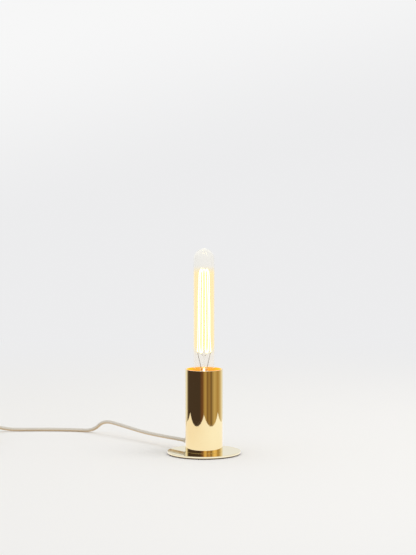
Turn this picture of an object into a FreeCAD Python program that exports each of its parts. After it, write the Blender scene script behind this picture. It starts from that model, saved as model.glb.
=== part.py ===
"""Bare bulb table lamp: a brass tube on a thin brass disc, with an open top and a long tubular
filament bulb in a screw holder inside it. A round textile cord leaves the tube low at the back.

Millimetres. The origin is the centre of the felt's underside, +Z is up the lamp's axis, and the
cord leaves towards +Y. Every piece is written to parts/NAME.step.
"""

import FreeCAD, Part

import math
import os

from FreeCAD import Vector as V

# ---------------------------------------------------------------- driving dimensions

# Base: a felt pad under a brass disc, with a steel plate that closes the foot of the tube.
FELT_T = 1.0
FELT_D = 102.0
DISC_D = 106.0
DISC_T = 3.0
DISC_EDGE = 0.4
TUBE_D = 54.0
TUBE_WALL = 2.0
TUBE_H = 119.0
TUBE_EDGE = 0.3
FOOT_T = 4.0
FOOT_GAP = 0.05
BASE_SCREWS = 3
BASE_SCREW_D = 4.0
BASE_SCREW_HEAD_D = 7.6
BASE_SCREW_INSET = 7.0
BASE_SCREW_LEN = 6.5
BASE_SCREW_SLOT_W = 1.0
BASE_SCREW_SLOT_DEPTH = 0.9

# Bracket that stands on the foot plate and carries the bulb holder.
BRACKET_W = 14.0
BRACKET_T = 2.0
BRACKET_H = 32.0
BRACKET_FOOT = 8.0
BRACKET_CLEAR = 1.0
BRACKET_SCREW_D = 3.0
BRACKET_SCREW_LEN = 5.5
PAN_HEAD_D = 5.6
PAN_HEAD_H = 2.0

# Hollow threaded stem that joins the bracket to the holder, with its nut and washer.
STEM_D = 10.0
STEM_BORE = 7.0
STEM_BELOW = 5.0
STEM_ABOVE = 7.5
STEM_NUT_AF = 14.0
STEM_NUT_T = 3.0
WASHER_D = 17.0
WASHER_T = 0.8
WASHER_TEETH = 16
HOLE_GAP = 0.1

# Bulb holder: a cap and a skirt of moulded plastic round a ceramic core and a brass sleeve.
CAP_BOSS_D = 20.0
CAP_BOSS_H = 6.2
CAP_H = 17.2
CAP_WALL = 2.3
SKIRT_D = 38.0
SKIRT_WALL = 2.0
SKIRT_LAP = 4.0
SKIRT_LIP_D = 27.4
SKIRT_LIP_T = 3.0
CORE_T = 12.0
SLEEVE_H = 22.0
SLEEVE_WALL = 0.6
SLEEVE_GAP = 0.2
CONTACT_T = 0.8
CONTACT_W = 5.0
CONTACT_RISE = 1.15
CONTACT_GAP = 0.05
POST_D = 2.4
PLATE_T = 1.5
PLATE_W = 6.0
TERMINAL_SCREW_D = 2.5
TERMINAL_HEAD_D = 4.4
TERMINAL_HEAD_H = 1.8
TERMINAL_SCREW_LEN = 7.0
WIRE_D = 2.2
LIVE_POST_X = -8.0
LIVE_SCREW_X = -11.4
LIVE_WIRE_X = -5.0
NEUTRAL_POST_X = 13.0
NEUTRAL_SCREW_X = 9.2
NEUTRAL_WIRE_X = 5.0

# Screw thread of the bulb and its holder: 7 turns to the inch.
PITCH = 25.4 / 7
THREAD_MINOR_D = 24.1
THREAD_MAJOR_D = 26.2
THREAD_GAP = 0.3
RIDGE_ROOT = 2.2
RIDGE_CREST = 0.8
RIDGE_SINK = 0.25
BULB_TURNS = 3.0
SLEEVE_TURNS = 4.5

# Bulb: a clear tube of glass on a brass screw cap.
BULB_L = 225.0
GLASS_D = 30.0
GLASS_WALL = 0.9
NECK_D = 24.0
NECK_H = 6.0
SHOULDER_H = 9.0
BULB_CAP_L = 27.0
SHELL_WALL = 0.6
COLLAR_H = 8.0
COLLAR_BORE = 25.2
SHELL_BOTTOM = 5.0
SHELL_LIP_D = 19.0
TIP_D = 9.6
TIP_H = 2.0
INSULATOR_TOP_D = 20.4
INSULATOR_H = 3.7
TURN_GAP = 0.3
FLARE_H = 9.0
FLARE_WALL = 1.0
FLARE_TUBE_D = 8.0
PRESS_TOP = 27.0
PRESS_W = 12.0
PRESS_T = 4.5
PRESS_H = 10.0
EXHAUST_D = 3.0
EXHAUST_L = 16.0
ROD_D = 2.4
ROD_SINK = 3.0
BUTTON_D = 4.6
BUTTON_H = 4.0

# Filament: one wire that runs up and down six times round half of the glass rod.
BULB_FACING_DEG = -40.0
STRANDS = 6
FILAMENT_D = 0.6
FILAMENT_LOW = 75.5
FILAMENT_HIGH = 195.5
FILAMENT_SHOULDER = 12.0
FILAMENT_LEAD_R = 9.4
FILAMENT_LOW_R = 8.0
FILAMENT_BODY_R = 9.0
FILAMENT_TOP_R = 4.8
HOOK_D = 0.5
LEAD_D = 0.9
LEAD_SPREAD = 3.2
LEAD_KNEE_R = 5.0
LEAD_KNEE_H = 8.0

# Cord and the bush that it leaves the tube through.
CORD_D = 5.2
CORD_GAP = 0.1
CORD_END = 1.0
EXIT_ABOVE_DISC = 10.0
INNER_BEND_R = 20.5
BUSH_SHANK_D = 8.0
BUSH_FLANGE_D = 11.0
BUSH_FLANGE_T = 2.0
BUSH_TAPER_L = 16.5
BUSH_TIP_D = 6.8
BUSH_SHANK_IN = 5.0
BUSH_NUT_AF = 11.0
BUSH_NUT_T = 2.8

# Cord's route from the bush to the hand switch, where the first point is the bush's own end: a
# shallow springy arch, a drop to the table, and a curve along it.
LEAD_ROUTE = [
    (0.0, 64.0, 14.0),
    (0.7, 98.0, 13.3),
    (-0.4, 141.0, 13.9),
    (-1.6, 194.0, 18.3),
    (-4.1, 234.0, 21.3),
    (-8.6, 255.4, 2.9),
    (-23.1, 282.7, 2.6),
    (-52.0, 312.0, 2.6),
    (-84.0, 337.5, 2.6),
    (-102.5, 348.7, 3.4),
    (-124.0, 358.0, 9.5),
]
# Route from the switch to the coil, and from the coil to the plug.
MID_ROUTE = [
    (-213.0, 358.0, 9.5),
    (-233.0, 354.0, 3.6),
    (-247.0, 341.5, 2.6),
    (-252.0, 324.0, 2.6),
]
TAIL_ROUTE = [
    (-252.0, 281.0, 8.45),
    (-252.0, 270.0, 6.85),
]

# Coil of the cord's spare length: two layers, wound in below and out again above.
COIL_X = -252.0
COIL_Y = 303.0
COIL_TURNS = 6
COIL_MIDDLE_D = 62.4
COIL_GAP = 0.65
COIL_SOFTENING = 0.35

# Hand switch in the cord: a body of two shells, a rocker and its contacts.
SWITCH_X = -138.0
SWITCH_Y = 358.0
SWITCH_L = 58.0
SWITCH_W = 24.0
SWITCH_H = 19.0
SWITCH_WALL = 2.0
SWITCH_NECK_L = 9.0
SWITCH_CORNER = 5.0
SWITCH_EDGE = 1.5
ROCKER_L = 20.0
ROCKER_W = 12.0
ROCKER_TILT_DEG = 9.0
ROCKER_GAP = 0.35
ROCKER_RISE = 2.2
PIVOT_D = 3.0
PIVOT_L = 2.0
PIVOT_GAP = 0.05
SWITCH_SCREW_D = 2.9
SWITCH_SCREW_X = 20.0
SWITCH_POST_WALL = 1.2
STRIP_T = 0.8
STRIP_W = 5.0
STRIP_REACH = 15.0
BLADE_X = 5.0
BLADE_L = 14.0
BLADE_W = 4.0

# Plug: a flat two-pin plug with its moulded bend relief.
PLUG_Y = 260.0
PLUG_L = 36.0
PLUG_W = 35.0
PLUG_T = 13.7
PLUG_CHAMFER = 9.0
PLUG_EDGE = 1.5
PLUG_RELIEF_L = 20.0
PLUG_RELIEF_D = 9.5
PLUG_RELIEF_TIP_D = 6.6
PIN_D = 4.0
PIN_L = 19.0
PIN_SPACING = 18.6
PIN_SINK = 8.0
PIN_ROOT_D = 3.2

# ---------------------------------------------------------------- places that follow from them

Z_DISC = FELT_T
Z_DISC_TOP = Z_DISC + DISC_T
Z_RIM = Z_DISC_TOP + TUBE_H
Z_FOOT_TOP = Z_DISC_TOP + FOOT_T
Z_BRACKET_TOP = Z_FOOT_TOP + BRACKET_H
Z_CAP = Z_BRACKET_TOP + WASHER_T
Z_CORE = Z_CAP + CAP_H
Z_CORE_TOP = Z_CORE + CORE_T
Z_STEM_TOP = Z_CAP + STEM_ABOVE
Z_SLEEVE_TOP = Z_CORE_TOP + SLEEVE_H
Z_LIP = Z_SLEEVE_TOP + SLEEVE_GAP
Z_SKIRT_TOP = Z_LIP + SKIRT_LIP_T
Z_CORD = Z_DISC_TOP + EXIT_ABOVE_DISC
Z_TIP = Z_CORE_TOP + CONTACT_T + CONTACT_RISE + CONTACT_GAP

TUBE_R = TUBE_D / 2
TUBE_BORE_R = TUBE_R - TUBE_WALL
SLEEVE_BORE_R = THREAD_MAJOR_D / 2 + THREAD_GAP
SLEEVE_R = SLEEVE_BORE_R + SLEEVE_WALL
SLEEVE_CREST_R = THREAD_MINOR_D / 2 + THREAD_GAP
SKIRT_R = SKIRT_D / 2
SKIRT_BORE_R = SKIRT_R - SKIRT_WALL
CAP_RIM_R = SKIRT_BORE_R - HOLE_GAP
CORD_R = CORD_D / 2
BUSH_END_Y = TUBE_R + BUSH_TAPER_L
Z_COIL_TOP = CORD_R + CORD_D + COIL_GAP
Z_SWITCH = SWITCH_H / 2
Z_PLUG = PLUG_T / 2
GLASS_R = GLASS_D / 2
Z_NECK = Z_TIP + BULB_CAP_L - NECK_H
Z_BULB_CAP_TOP = Z_TIP + BULB_CAP_L
Z_BULB_TOP = Z_TIP + BULB_L
Z_PRESS_TOP = Z_NECK + PRESS_TOP
SWITCH_MID_X = SWITCH_X - SWITCH_L / 2

# ---------------------------------------------------------------- shared shapes


def disc(radius, low, high, x=0.0, y=0.0):
    """An upright cylinder from one height to another."""
    return Part.makeCylinder(radius, high - low, V(x, y, low))


def ring(outer, bore, low, high):
    return disc(outer, low, high).cut(disc(bore, low, high))


def block(x, y, z):
    """A box from three (low, high) pairs."""
    return Part.makeBox(x[1] - x[0], y[1] - y[0], z[1] - z[0], V(x[0], y[0], z[0]))


def rod(start, end, diameter):
    start, end = V(*start), V(*end)
    return Part.makeCylinder(diameter / 2, (end - start).Length, start, end - start)


def cone(low_d, high_d, start, end):
    start, end = V(*start), V(*end)
    return Part.makeCone(low_d / 2, high_d / 2, (end - start).Length, start, end - start)


def turned(edges):
    """A solid turned about the lamp's axis from the edges of half its section."""
    face = Part.Face(Part.Wire(edges))
    return face.revolve(V(0, 0, 0), V(0, 0, 1), 360)


def section(points):
    """Straight edges through (radius, height) points, in the plane of the axis."""
    places = [V(r, 0, z) for r, z in points]
    return [Part.LineSegment(a, b).toShape() for a, b in zip(places, places[1:])]


def arc(start, middle, end):
    return Part.Arc(start, middle, end).toShape()


def lathe(points):
    return turned(section(points + points[:1]))


def hexagon(across_flats, low, high):
    radius = across_flats / math.sqrt(3)
    corners = [V(radius * math.cos(math.radians(a)), radius * math.sin(math.radians(a)), low)
               for a in range(0, 361, 60)]
    return Part.Face(Part.makePolygon(corners)).extrude(V(0, 0, high - low))


def about_axis(shape, degrees):
    turned_shape = shape.copy()
    turned_shape.rotate(V(0, 0, 0), V(0, 0, 1), degrees)
    return turned_shape


def fused(shapes):
    return shapes[0].multiFuse(shapes[1:]).removeSplitter() if len(shapes) > 1 else shapes[0]


def rounded(shape, radius, wanted):
    """The shape with a fillet on each edge that wanted() picks."""
    return shape.makeFillet(radius, [e for e in shape.Edges if wanted(e)])


def level(edge, height):
    """Whether an edge lies wholly at one height."""
    box = edge.BoundBox
    return abs(box.ZMin - height) < 1e-6 and abs(box.ZMax - height) < 1e-6


def upright(edge):
    box = edge.BoundBox
    return box.XLength < 1e-6 and box.YLength < 1e-6


# ---------------------------------------------------------------- wires and cords


def bent_path(points, radius=None, share=0.45):
    """Straight runs through the points, joined by tangent arcs. Each arc is as large as its two
    runs allow, or has the radius given. Returns the wire and the radii."""
    points = [V(*p) for p in points]
    edges, radii = [], []
    here = points[0]
    for before, corner, after in zip(points, points[1:], points[2:]):
        back, on = before - corner, after - corner
        turn = math.pi - back.getAngle(on)
        bend = radius or share * min(back.Length, on.Length) / math.tan(turn / 2)
        reach = bend * math.tan(turn / 2)
        back.normalize()
        on.normalize()
        start, end = corner + back * reach, corner + on * reach
        inward = (back + on).normalize()
        middle = corner + inward * (bend / math.cos(turn / 2) - bend)
        edges += [Part.LineSegment(here, start).toShape(), arc(start, middle, end)]
        radii.append(bend)
        here = end
    edges.append(Part.LineSegment(here, points[-1]).toShape())
    return Part.Wire(edges), radii


def tube_along(path, diameter):
    """A solid round tube along a wire."""
    first = path.Edges[0]
    start = first.valueAt(first.FirstParameter)
    heading = first.tangentAt(first.FirstParameter)
    circle = Part.Wire(Part.makeCircle(diameter / 2, start, heading))
    return path.makePipeShell([circle], True, False)


def bent_wire(points, diameter, radius=None, share=0.45):
    path, _ = bent_path(points, radius, share)
    return tube_along(path, diameter)


def free_cord(name, points):
    """A free stretch of cord, with its length, smallest bend and volume printed."""
    path, radii = bent_path(points)
    solid = tube_along(path, CORD_D)
    expected = math.pi * CORD_R ** 2 * path.Length
    print(f"{name}: {path.Length:.1f} mm long, bends {[round(r) for r in radii]} mm, "
          f"volume {solid.Volume / expected:.4f} of section times length")
    return solid


def biarc(start, heading, end, end_heading):
    """Two arcs that leave start and reach end along the two headings, and join smoothly."""
    chord, both = end - start, heading + end_heading
    spare = 2 * (1 - heading.dot(end_heading))
    ahead = chord.dot(both)
    reach = (math.sqrt(ahead ** 2 + spare * chord.dot(chord)) - ahead) / spare
    joint = (start + end + (heading - end_heading) * reach) * 0.5
    joint_heading = (end - end_heading * reach) - (start + heading * reach)
    joint_heading.normalize()
    return [one_arc(start, heading, joint), one_arc(joint, joint_heading, end)]


def one_arc(start, heading, end):
    """The arc that leaves start along a heading and ends at end."""
    chord = end - start
    weight = chord.dot(heading) / chord.Length
    corner = start + heading * (chord.Length / (2 * weight))
    middle = (start + corner * (2 * weight) + end) * (1 / (2 + 2 * weight))
    return arc(start, middle, end)


# ---------------------------------------------------------------- base


def felt_pad():
    return disc(FELT_D / 2, 0, FELT_T)


def base_screw_places():
    angles = [math.radians(90 + 360 * i / BASE_SCREWS) for i in range(BASE_SCREWS)]
    radius = TUBE_BORE_R - BASE_SCREW_INSET
    return [(radius * math.cos(a), radius * math.sin(a)) for a in angles]


def base_screw(x, y, gap=0.0):
    """A countersunk screw, flush with the disc's underside. A gap makes it the hole for it."""
    head_h = (BASE_SCREW_HEAD_D - BASE_SCREW_D) / 2
    wide, narrow = BASE_SCREW_HEAD_D + 2 * gap, BASE_SCREW_D + 2 * gap
    head = cone(wide, narrow, (x, y, Z_DISC), (x, y, Z_DISC + head_h))
    shank = disc(BASE_SCREW_D / 2 + gap, Z_DISC, Z_DISC + BASE_SCREW_LEN, x, y)
    return head.fuse(shank).removeSplitter()


def base_screws():
    half, thin = BASE_SCREW_HEAD_D / 2, BASE_SCREW_SLOT_W / 2
    slot_top = Z_DISC + BASE_SCREW_SLOT_DEPTH
    screws = []
    for x, y in base_screw_places():
        slots = [block((x - half, x + half), (y - thin, y + thin), (Z_DISC, slot_top)),
                 block((x - thin, x + thin), (y - half, y + half), (Z_DISC, slot_top))]
        reach = disc(BASE_SCREW_D / 2, Z_DISC, slot_top, x, y)
        screws.append(base_screw(x, y).cut(fused(slots).common(reach)))
    return Part.makeCompound(screws)


def base_disc():
    plate = disc(DISC_D / 2, Z_DISC, Z_DISC_TOP)
    edge = min(DISC_EDGE, DISC_T / 3)
    plate = rounded(plate, edge, lambda e: level(e, Z_DISC) or level(e, Z_DISC_TOP))
    for x, y in base_screw_places():
        plate = plate.cut(base_screw(x, y, HOLE_GAP))
    return plate


def foot_plate():
    """The steel plate brazed into the foot of the tube, tapped for the screws."""
    plate = disc(TUBE_BORE_R - FOOT_GAP, Z_DISC_TOP, Z_FOOT_TOP)
    for x, y in base_screw_places():
        plate = plate.cut(disc(BASE_SCREW_D / 2, Z_DISC_TOP, Z_FOOT_TOP, x, y))
    for x in bracket_screw_places():
        plate = plate.cut(disc(BRACKET_SCREW_D / 2, Z_DISC_TOP, Z_FOOT_TOP, x))
    return plate


def body_tube():
    tube = ring(TUBE_R, TUBE_BORE_R, Z_DISC_TOP, Z_RIM)
    tube = rounded(tube, min(TUBE_EDGE, TUBE_WALL / 3), lambda e: level(e, Z_RIM))
    hole = rod((0, TUBE_BORE_R - TUBE_WALL, Z_CORD), (0, TUBE_R + 1, Z_CORD), BUSH_SHANK_D + 2 * HOLE_GAP)
    return tube.cut(hole)


# ---------------------------------------------------------------- holder bracket


def bracket_toe():
    """How far the bracket's feet reach, with their corners clear of the tube's bore."""
    return math.sqrt(TUBE_BORE_R ** 2 - (BRACKET_W / 2) ** 2) - BRACKET_CLEAR


def bracket_screw_places():
    x = bracket_toe() - BRACKET_FOOT / 2
    return (-x, x)


def holder_bracket():
    toe, width = bracket_toe(), (-BRACKET_W / 2, BRACKET_W / 2)
    half = toe - BRACKET_FOOT
    legs = []
    for side in (-1, 1):
        inner, outer = half - BRACKET_T, half
        legs.append(block(sorted((side * inner, side * outer)), width, (Z_FOOT_TOP, Z_BRACKET_TOP)))
        legs.append(block(sorted((side * inner, side * toe)), width, (Z_FOOT_TOP, Z_FOOT_TOP + BRACKET_T)))
    top = block((-half, half), width, (Z_BRACKET_TOP - BRACKET_T, Z_BRACKET_TOP))
    strip = fused(legs + [top])
    strip = strip.cut(disc(STEM_D / 2 + HOLE_GAP, Z_BRACKET_TOP - BRACKET_T, Z_BRACKET_TOP))
    for x in bracket_screw_places():
        strip = strip.cut(disc(BRACKET_SCREW_D / 2 + HOLE_GAP, Z_FOOT_TOP, Z_FOOT_TOP + BRACKET_T, x))
    return strip


def pan_screw(x, y, seat, length, diameter, head_d, head_h, down=True):
    """A pan-head screw whose head sits on a seat, with its shank below it, or above it."""
    way = -1 if down else 1
    shank = disc(diameter / 2, *sorted((seat, seat + way * length)), x, y)
    head = disc(head_d / 2, *sorted((seat, seat - way * head_h)), x, y)
    head = rounded(head, head_h / 2, lambda e: level(e, seat - way * head_h) and e.Length > head_d)
    slot_low, slot_high = sorted((seat - way * head_h, seat - way * head_h / 2))
    slot = block((x - head_d / 2, x + head_d / 2), (y - head_d / 12, y + head_d / 12), (slot_low, slot_high))
    return shank.fuse(head).removeSplitter().cut(slot)


def bracket_screws():
    seat = Z_FOOT_TOP + BRACKET_T
    sizes = (BRACKET_SCREW_LEN, BRACKET_SCREW_D, PAN_HEAD_D, PAN_HEAD_H)
    return Part.makeCompound([pan_screw(x, 0, seat, *sizes) for x in bracket_screw_places()])


def threaded_stem():
    return ring(STEM_D / 2, STEM_BORE / 2, Z_BRACKET_TOP - BRACKET_T - STEM_BELOW, Z_STEM_TOP)


def stem_nut():
    high = Z_BRACKET_TOP - BRACKET_T
    low = high - STEM_NUT_T
    return hexagon(STEM_NUT_AF, low, high).cut(disc(STEM_D / 2, low, high))


def toothed_washer():
    low, high = Z_BRACKET_TOP, Z_BRACKET_TOP + WASHER_T
    washer = ring(WASHER_D / 2, STEM_D / 2 + HOLE_GAP, low, high)
    depth, width = (WASHER_D - STEM_D) / 5, math.pi * WASHER_D / WASHER_TEETH / 2
    notch = block((WASHER_D / 2 - depth, WASHER_D / 2 + 1), (-width / 2, width / 2), (low, high))
    return washer.cut(fused([about_axis(notch, 360 * i / WASHER_TEETH) for i in range(WASHER_TEETH)]))


# ---------------------------------------------------------------- bulb holder


def holder_cap():
    """The bell that screws on the stem, with the skirt over its rim."""
    boss_r, rim_r = CAP_BOSS_D / 2, CAP_RIM_R
    slope = Z_CAP + (CAP_H - CAP_BOSS_H) / 2
    floor = Z_CAP + CAP_BOSS_H
    lap = Z_CORE - SKIRT_LAP
    cavity_r = rim_r - CAP_WALL
    return lathe([(STEM_D / 2, Z_CAP), (boss_r, Z_CAP), (SKIRT_R, slope), (SKIRT_R, lap), (rim_r, lap),
                  (rim_r, Z_CORE), (cavity_r, Z_CORE), (cavity_r, floor), (STEM_D / 2, floor)])


def holder_skirt():
    low, lip_r = Z_CORE - SKIRT_LAP, SKIRT_LIP_D / 2
    upper_r = SLEEVE_R + SLEEVE_GAP
    skirt = lathe([(SKIRT_BORE_R, low), (SKIRT_R, low), (SKIRT_R, Z_SKIRT_TOP), (lip_r, Z_SKIRT_TOP),
                   (lip_r, Z_LIP), (upper_r, Z_LIP), (upper_r, Z_CORE_TOP), (SKIRT_BORE_R, Z_CORE_TOP)])
    return rounded(skirt, 1.0, lambda e: level(e, Z_SKIRT_TOP) and e.Length > math.pi * SKIRT_D * 0.9)


def holder_core():
    """The ceramic disc that holds the contacts, held between the cap's rim and the skirt."""
    core = disc(SKIRT_BORE_R - SLEEVE_GAP, Z_CORE, Z_CORE_TOP)
    for x in (LIVE_POST_X, NEUTRAL_POST_X):
        core = core.cut(disc(POST_D / 2 + HOLE_GAP, Z_CORE, Z_CORE_TOP, x))
    for x in (LIVE_SCREW_X, NEUTRAL_SCREW_X):
        core = core.cut(disc(TERMINAL_SCREW_D / 2 + HOLE_GAP, Z_CORE, Z_CORE + TERMINAL_SCREW_LEN, x))
    return core


def terminal_plate(xs):
    """The brass plate under the core that a post, a screw and a wire meet."""
    low, high = min(xs), max(xs)
    reach = PLATE_W / 4
    return block((low - reach, high + reach), (-PLATE_W / 2, PLATE_W / 2), (Z_CORE - PLATE_T, Z_CORE))


def terminal(post_x, screw_x, wire_x, top):
    plate = terminal_plate((post_x, wire_x))
    side = 1 if post_x > 0 else -1
    outer = side * max(abs(post_x), abs(screw_x)) + side * PLATE_W / 4
    width = (-PLATE_W / 2, PLATE_W / 2)
    plate = plate.fuse(block(sorted((wire_x, outer)), width, (Z_CORE - PLATE_T, Z_CORE)))
    plate = plate.common(disc(CAP_RIM_R - CAP_WALL - HOLE_GAP, Z_CORE - PLATE_T, Z_CORE))
    plate = plate.cut(disc(TERMINAL_SCREW_D / 2, Z_CORE - PLATE_T, Z_CORE, screw_x))
    return plate.fuse(disc(POST_D / 2, Z_CORE, top, post_x)).removeSplitter()


def centre_contact():
    """The sprung strip under the bulb's tip, riveted through the core to the live terminal."""
    z, t, rise = Z_CORE_TOP, CONTACT_T, CONTACT_RISE
    bend, crown = LIVE_POST_X + POST_D, TIP_D / 4
    outline = [(LIVE_POST_X - POST_D, z), (bend, z), (-crown, z + rise), (crown, z + rise),
               (crown, z + rise + t), (-crown, z + rise + t), (bend, z + t), (LIVE_POST_X - POST_D, z + t)]
    places = [V(x, -CONTACT_W / 2, height) for x, height in outline]
    strip = Part.Face(Part.makePolygon(places + places[:1])).extrude(V(0, CONTACT_W, 0))
    return strip.fuse(terminal(LIVE_POST_X, LIVE_SCREW_X, LIVE_WIRE_X, z)).removeSplitter()


def side_contact():
    return terminal(NEUTRAL_POST_X, NEUTRAL_SCREW_X, NEUTRAL_WIRE_X, Z_CORE_TOP)


def terminal_screws():
    seat = Z_CORE - PLATE_T
    sizes = (TERMINAL_SCREW_LEN, TERMINAL_SCREW_D, TERMINAL_HEAD_D, TERMINAL_HEAD_H)
    return Part.makeCompound([pan_screw(x, 0, seat, *sizes, down=False)
                              for x in (LIVE_SCREW_X, NEUTRAL_SCREW_X)])


def helical_ridge(root_r, crest_r, start, turns):
    """A thread's ridge from its root radius out, or in, to its crest, sunk a little in its wall."""
    sunk = root_r - math.copysign(RIDGE_SINK, crest_r - root_r)
    outline = [(sunk, -RIDGE_ROOT / 2), (root_r, -RIDGE_ROOT / 2), (crest_r, -RIDGE_CREST / 2),
               (crest_r, RIDGE_CREST / 2), (root_r, RIDGE_ROOT / 2), (sunk, RIDGE_ROOT / 2)]
    places = [V(r, 0, height) for r, height in outline]
    helix = Part.makeHelix(PITCH, PITCH * turns, root_r)
    ridge = Part.Wire(helix.Edges).makePipeShell([Part.makePolygon(places + places[:1])], True, True)
    ridge.translate(V(0, 0, start))
    return ridge


def threaded_sleeve():
    wall = ring(SLEEVE_R, SLEEVE_BORE_R, Z_CORE_TOP, Z_SLEEVE_TOP)
    start = bulb_ridge_start() - PITCH / 2 - PITCH * math.floor((SLEEVE_TURNS - BULB_TURNS) / 2 + 0.5)
    return wall.fuse(helical_ridge(SLEEVE_BORE_R, SLEEVE_CREST_R, start, SLEEVE_TURNS))


def supply_wire(wire_x):
    """One core of the cord, from the end of its sheath to its terminal plate."""
    low, high = Z_STEM_TOP + CORD_END, Z_CORE - PLATE_T
    start_x = math.copysign(WIRE_D / 2 + HOLE_GAP / 2, wire_x)
    third = (high - low) / 3
    points = [(start_x, 0, low), (start_x, 0, low + third), (wire_x, 0, high - third), (wire_x, 0, high)]
    return bent_wire(points, WIRE_D)


# ---------------------------------------------------------------- bulb


def bulb_ridge_start():
    return Z_TIP + SHELL_BOTTOM + RIDGE_ROOT


def tip_contact():
    tip = disc(TIP_D / 2, Z_TIP, Z_TIP + TIP_H)
    return rounded(tip, TIP_H / 3, lambda e: level(e, Z_TIP))


def cap_insulator():
    low, high = Z_TIP + TIP_H / 2, Z_TIP + TIP_H / 2 + INSULATOR_H
    body = cone(TIP_D + 2 * HOLE_GAP + 1.0, INSULATOR_TOP_D, (0, 0, low), (0, 0, high))
    seat = disc(TIP_D / 2, low, Z_TIP + TIP_H)
    return body.cut(seat).cut(disc(LEAD_D, low, high))


def cap_shell():
    """The bulb's brass screw cap: a lip round the insulator, a threaded wall and a collar."""
    low = Z_TIP + SHELL_BOTTOM
    root_r, collar_r = THREAD_MINOR_D / 2, THREAD_MAJOR_D / 2
    bore_r, collar_low = root_r - SHELL_WALL, Z_BULB_CAP_TOP - COLLAR_H
    outside = [(SHELL_LIP_D / 2, low), (root_r, low), (root_r, collar_low), (collar_r, collar_low + 1),
               (collar_r, Z_BULB_CAP_TOP)]
    inside = [(COLLAR_BORE / 2, Z_BULB_CAP_TOP), (COLLAR_BORE / 2, collar_low + 1), (bore_r, collar_low),
              (bore_r, low + SHELL_WALL), (SHELL_LIP_D / 2, low + SHELL_WALL)]
    wall = lathe(outside + inside)
    return wall.fuse(helical_ridge(root_r, collar_r, bulb_ridge_start(), BULB_TURNS))


def cap_cement():
    """The ring of cement that holds the glass in its cap."""
    return ring(COLLAR_BORE / 2, NECK_D / 2, Z_NECK, Z_BULB_CAP_TOP)


def envelope_side(inset):
    """The edges of the envelope's side from its neck to its crown, inset by part of the wall."""
    neck_r, body_r = NECK_D / 2 - inset, GLASS_R - inset
    crown_z = Z_BULB_TOP - GLASS_R
    low, high = V(neck_r, 0, Z_BULB_CAP_TOP), V(body_r, 0, Z_BULB_CAP_TOP + SHOULDER_H)
    middle = (low + high) * 0.5
    up = V(0, 0, 1)
    lower = one_arc(low, up, middle)
    upper = one_arc(high, V(0, 0, -1), middle)
    angle = math.radians(45)
    dome = arc(V(body_r, 0, crown_z), V(body_r * math.cos(angle), 0, crown_z + body_r * math.sin(angle)),
               V(0, 0, crown_z + body_r))
    return [Part.LineSegment(V(neck_r, 0, Z_NECK), low).toShape(), lower, upper,
            Part.LineSegment(high, V(body_r, 0, crown_z)).toShape(), dome]


def glass_envelope():
    outer, inner = envelope_side(0), envelope_side(GLASS_WALL)
    foot = section([(NECK_D / 2 - GLASS_WALL, Z_NECK), (NECK_D / 2, Z_NECK)])
    crown = section([(0, Z_BULB_TOP), (0, Z_BULB_TOP - GLASS_WALL)])
    return turned(Part.__sortEdges__(foot + outer + crown + inner))


def glass_stem():
    """The glass foot that closes the envelope: a flare, a tube, the flattened press where the
    wires are sealed in, and the sealed exhaust tube below it."""
    rim_r, tube_r = NECK_D / 2 - GLASS_WALL, FLARE_TUBE_D / 2
    top = Z_NECK + FLARE_H
    press_low = Z_PRESS_TOP - PRESS_H
    outer = one_arc(V(tube_r, 0, top), V(0, 0, -1), V(rim_r, 0, Z_NECK + FLARE_WALL))
    inner = one_arc(V(tube_r - FLARE_WALL, 0, top), V(0, 0, -1), V(rim_r - FLARE_WALL, 0, Z_NECK))
    edges = [outer, inner]
    edges += section([(rim_r - FLARE_WALL, Z_NECK), (rim_r, Z_NECK), (rim_r, Z_NECK + FLARE_WALL)])
    edges += section([(tube_r, top), (tube_r, press_low + 1), (0, press_low + 1), (0, press_low),
                      (tube_r - FLARE_WALL, press_low), (tube_r - FLARE_WALL, top)])
    flare = turned(Part.__sortEdges__(edges))
    press = block((-PRESS_W / 2, PRESS_W / 2), (-PRESS_T / 2, PRESS_T / 2), (press_low, Z_PRESS_TOP))
    press = rounded(press, PRESS_T / 3, upright)
    exhaust = disc(EXHAUST_D / 2, Z_NECK - EXHAUST_L + PRESS_H, press_low)
    solid = fused([flare, press, exhaust])
    return solid.cut(Part.makeCompound(lead_wire_pair())).cut(rod_core())


def rod_core():
    return disc(ROD_D / 2, Z_PRESS_TOP - ROD_SINK, Z_TIP + FILAMENT_HIGH - FILAMENT_SHOULDER)


def glass_rod():
    """The rod up the middle of the bulb, with a bead low down and a button at its top."""
    top = Z_TIP + FILAMENT_HIGH - FILAMENT_SHOULDER
    bead = Z_TIP + FILAMENT_LOW - BUTTON_H
    parts = [rod_core(), disc(BUTTON_D / 2, top, top + BUTTON_H), disc(BUTTON_D / 2, bead - BUTTON_H, bead)]
    solid = fused(parts)
    return rounded(solid, BUTTON_H / 4, lambda e: level(e, top + BUTTON_H)).cut(hook_compound())


def filament_angle(step):
    """The angle of a turning point of the filament, from the first lead to the last."""
    return math.radians(180 + 180 * step / STRANDS)


def around(radius, angle, height):
    return (radius * math.cos(angle), radius * math.sin(angle), height)


def filament_point(step):
    """A turning point: low at every second step, at the leads and the bottom hooks."""
    if step % 2:
        return around(FILAMENT_TOP_R, filament_angle(step), Z_TIP + FILAMENT_HIGH)
    radius = FILAMENT_LEAD_R if step in (0, STRANDS) else FILAMENT_LOW_R
    return around(radius, filament_angle(step), Z_TIP + FILAMENT_LOW)


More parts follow.
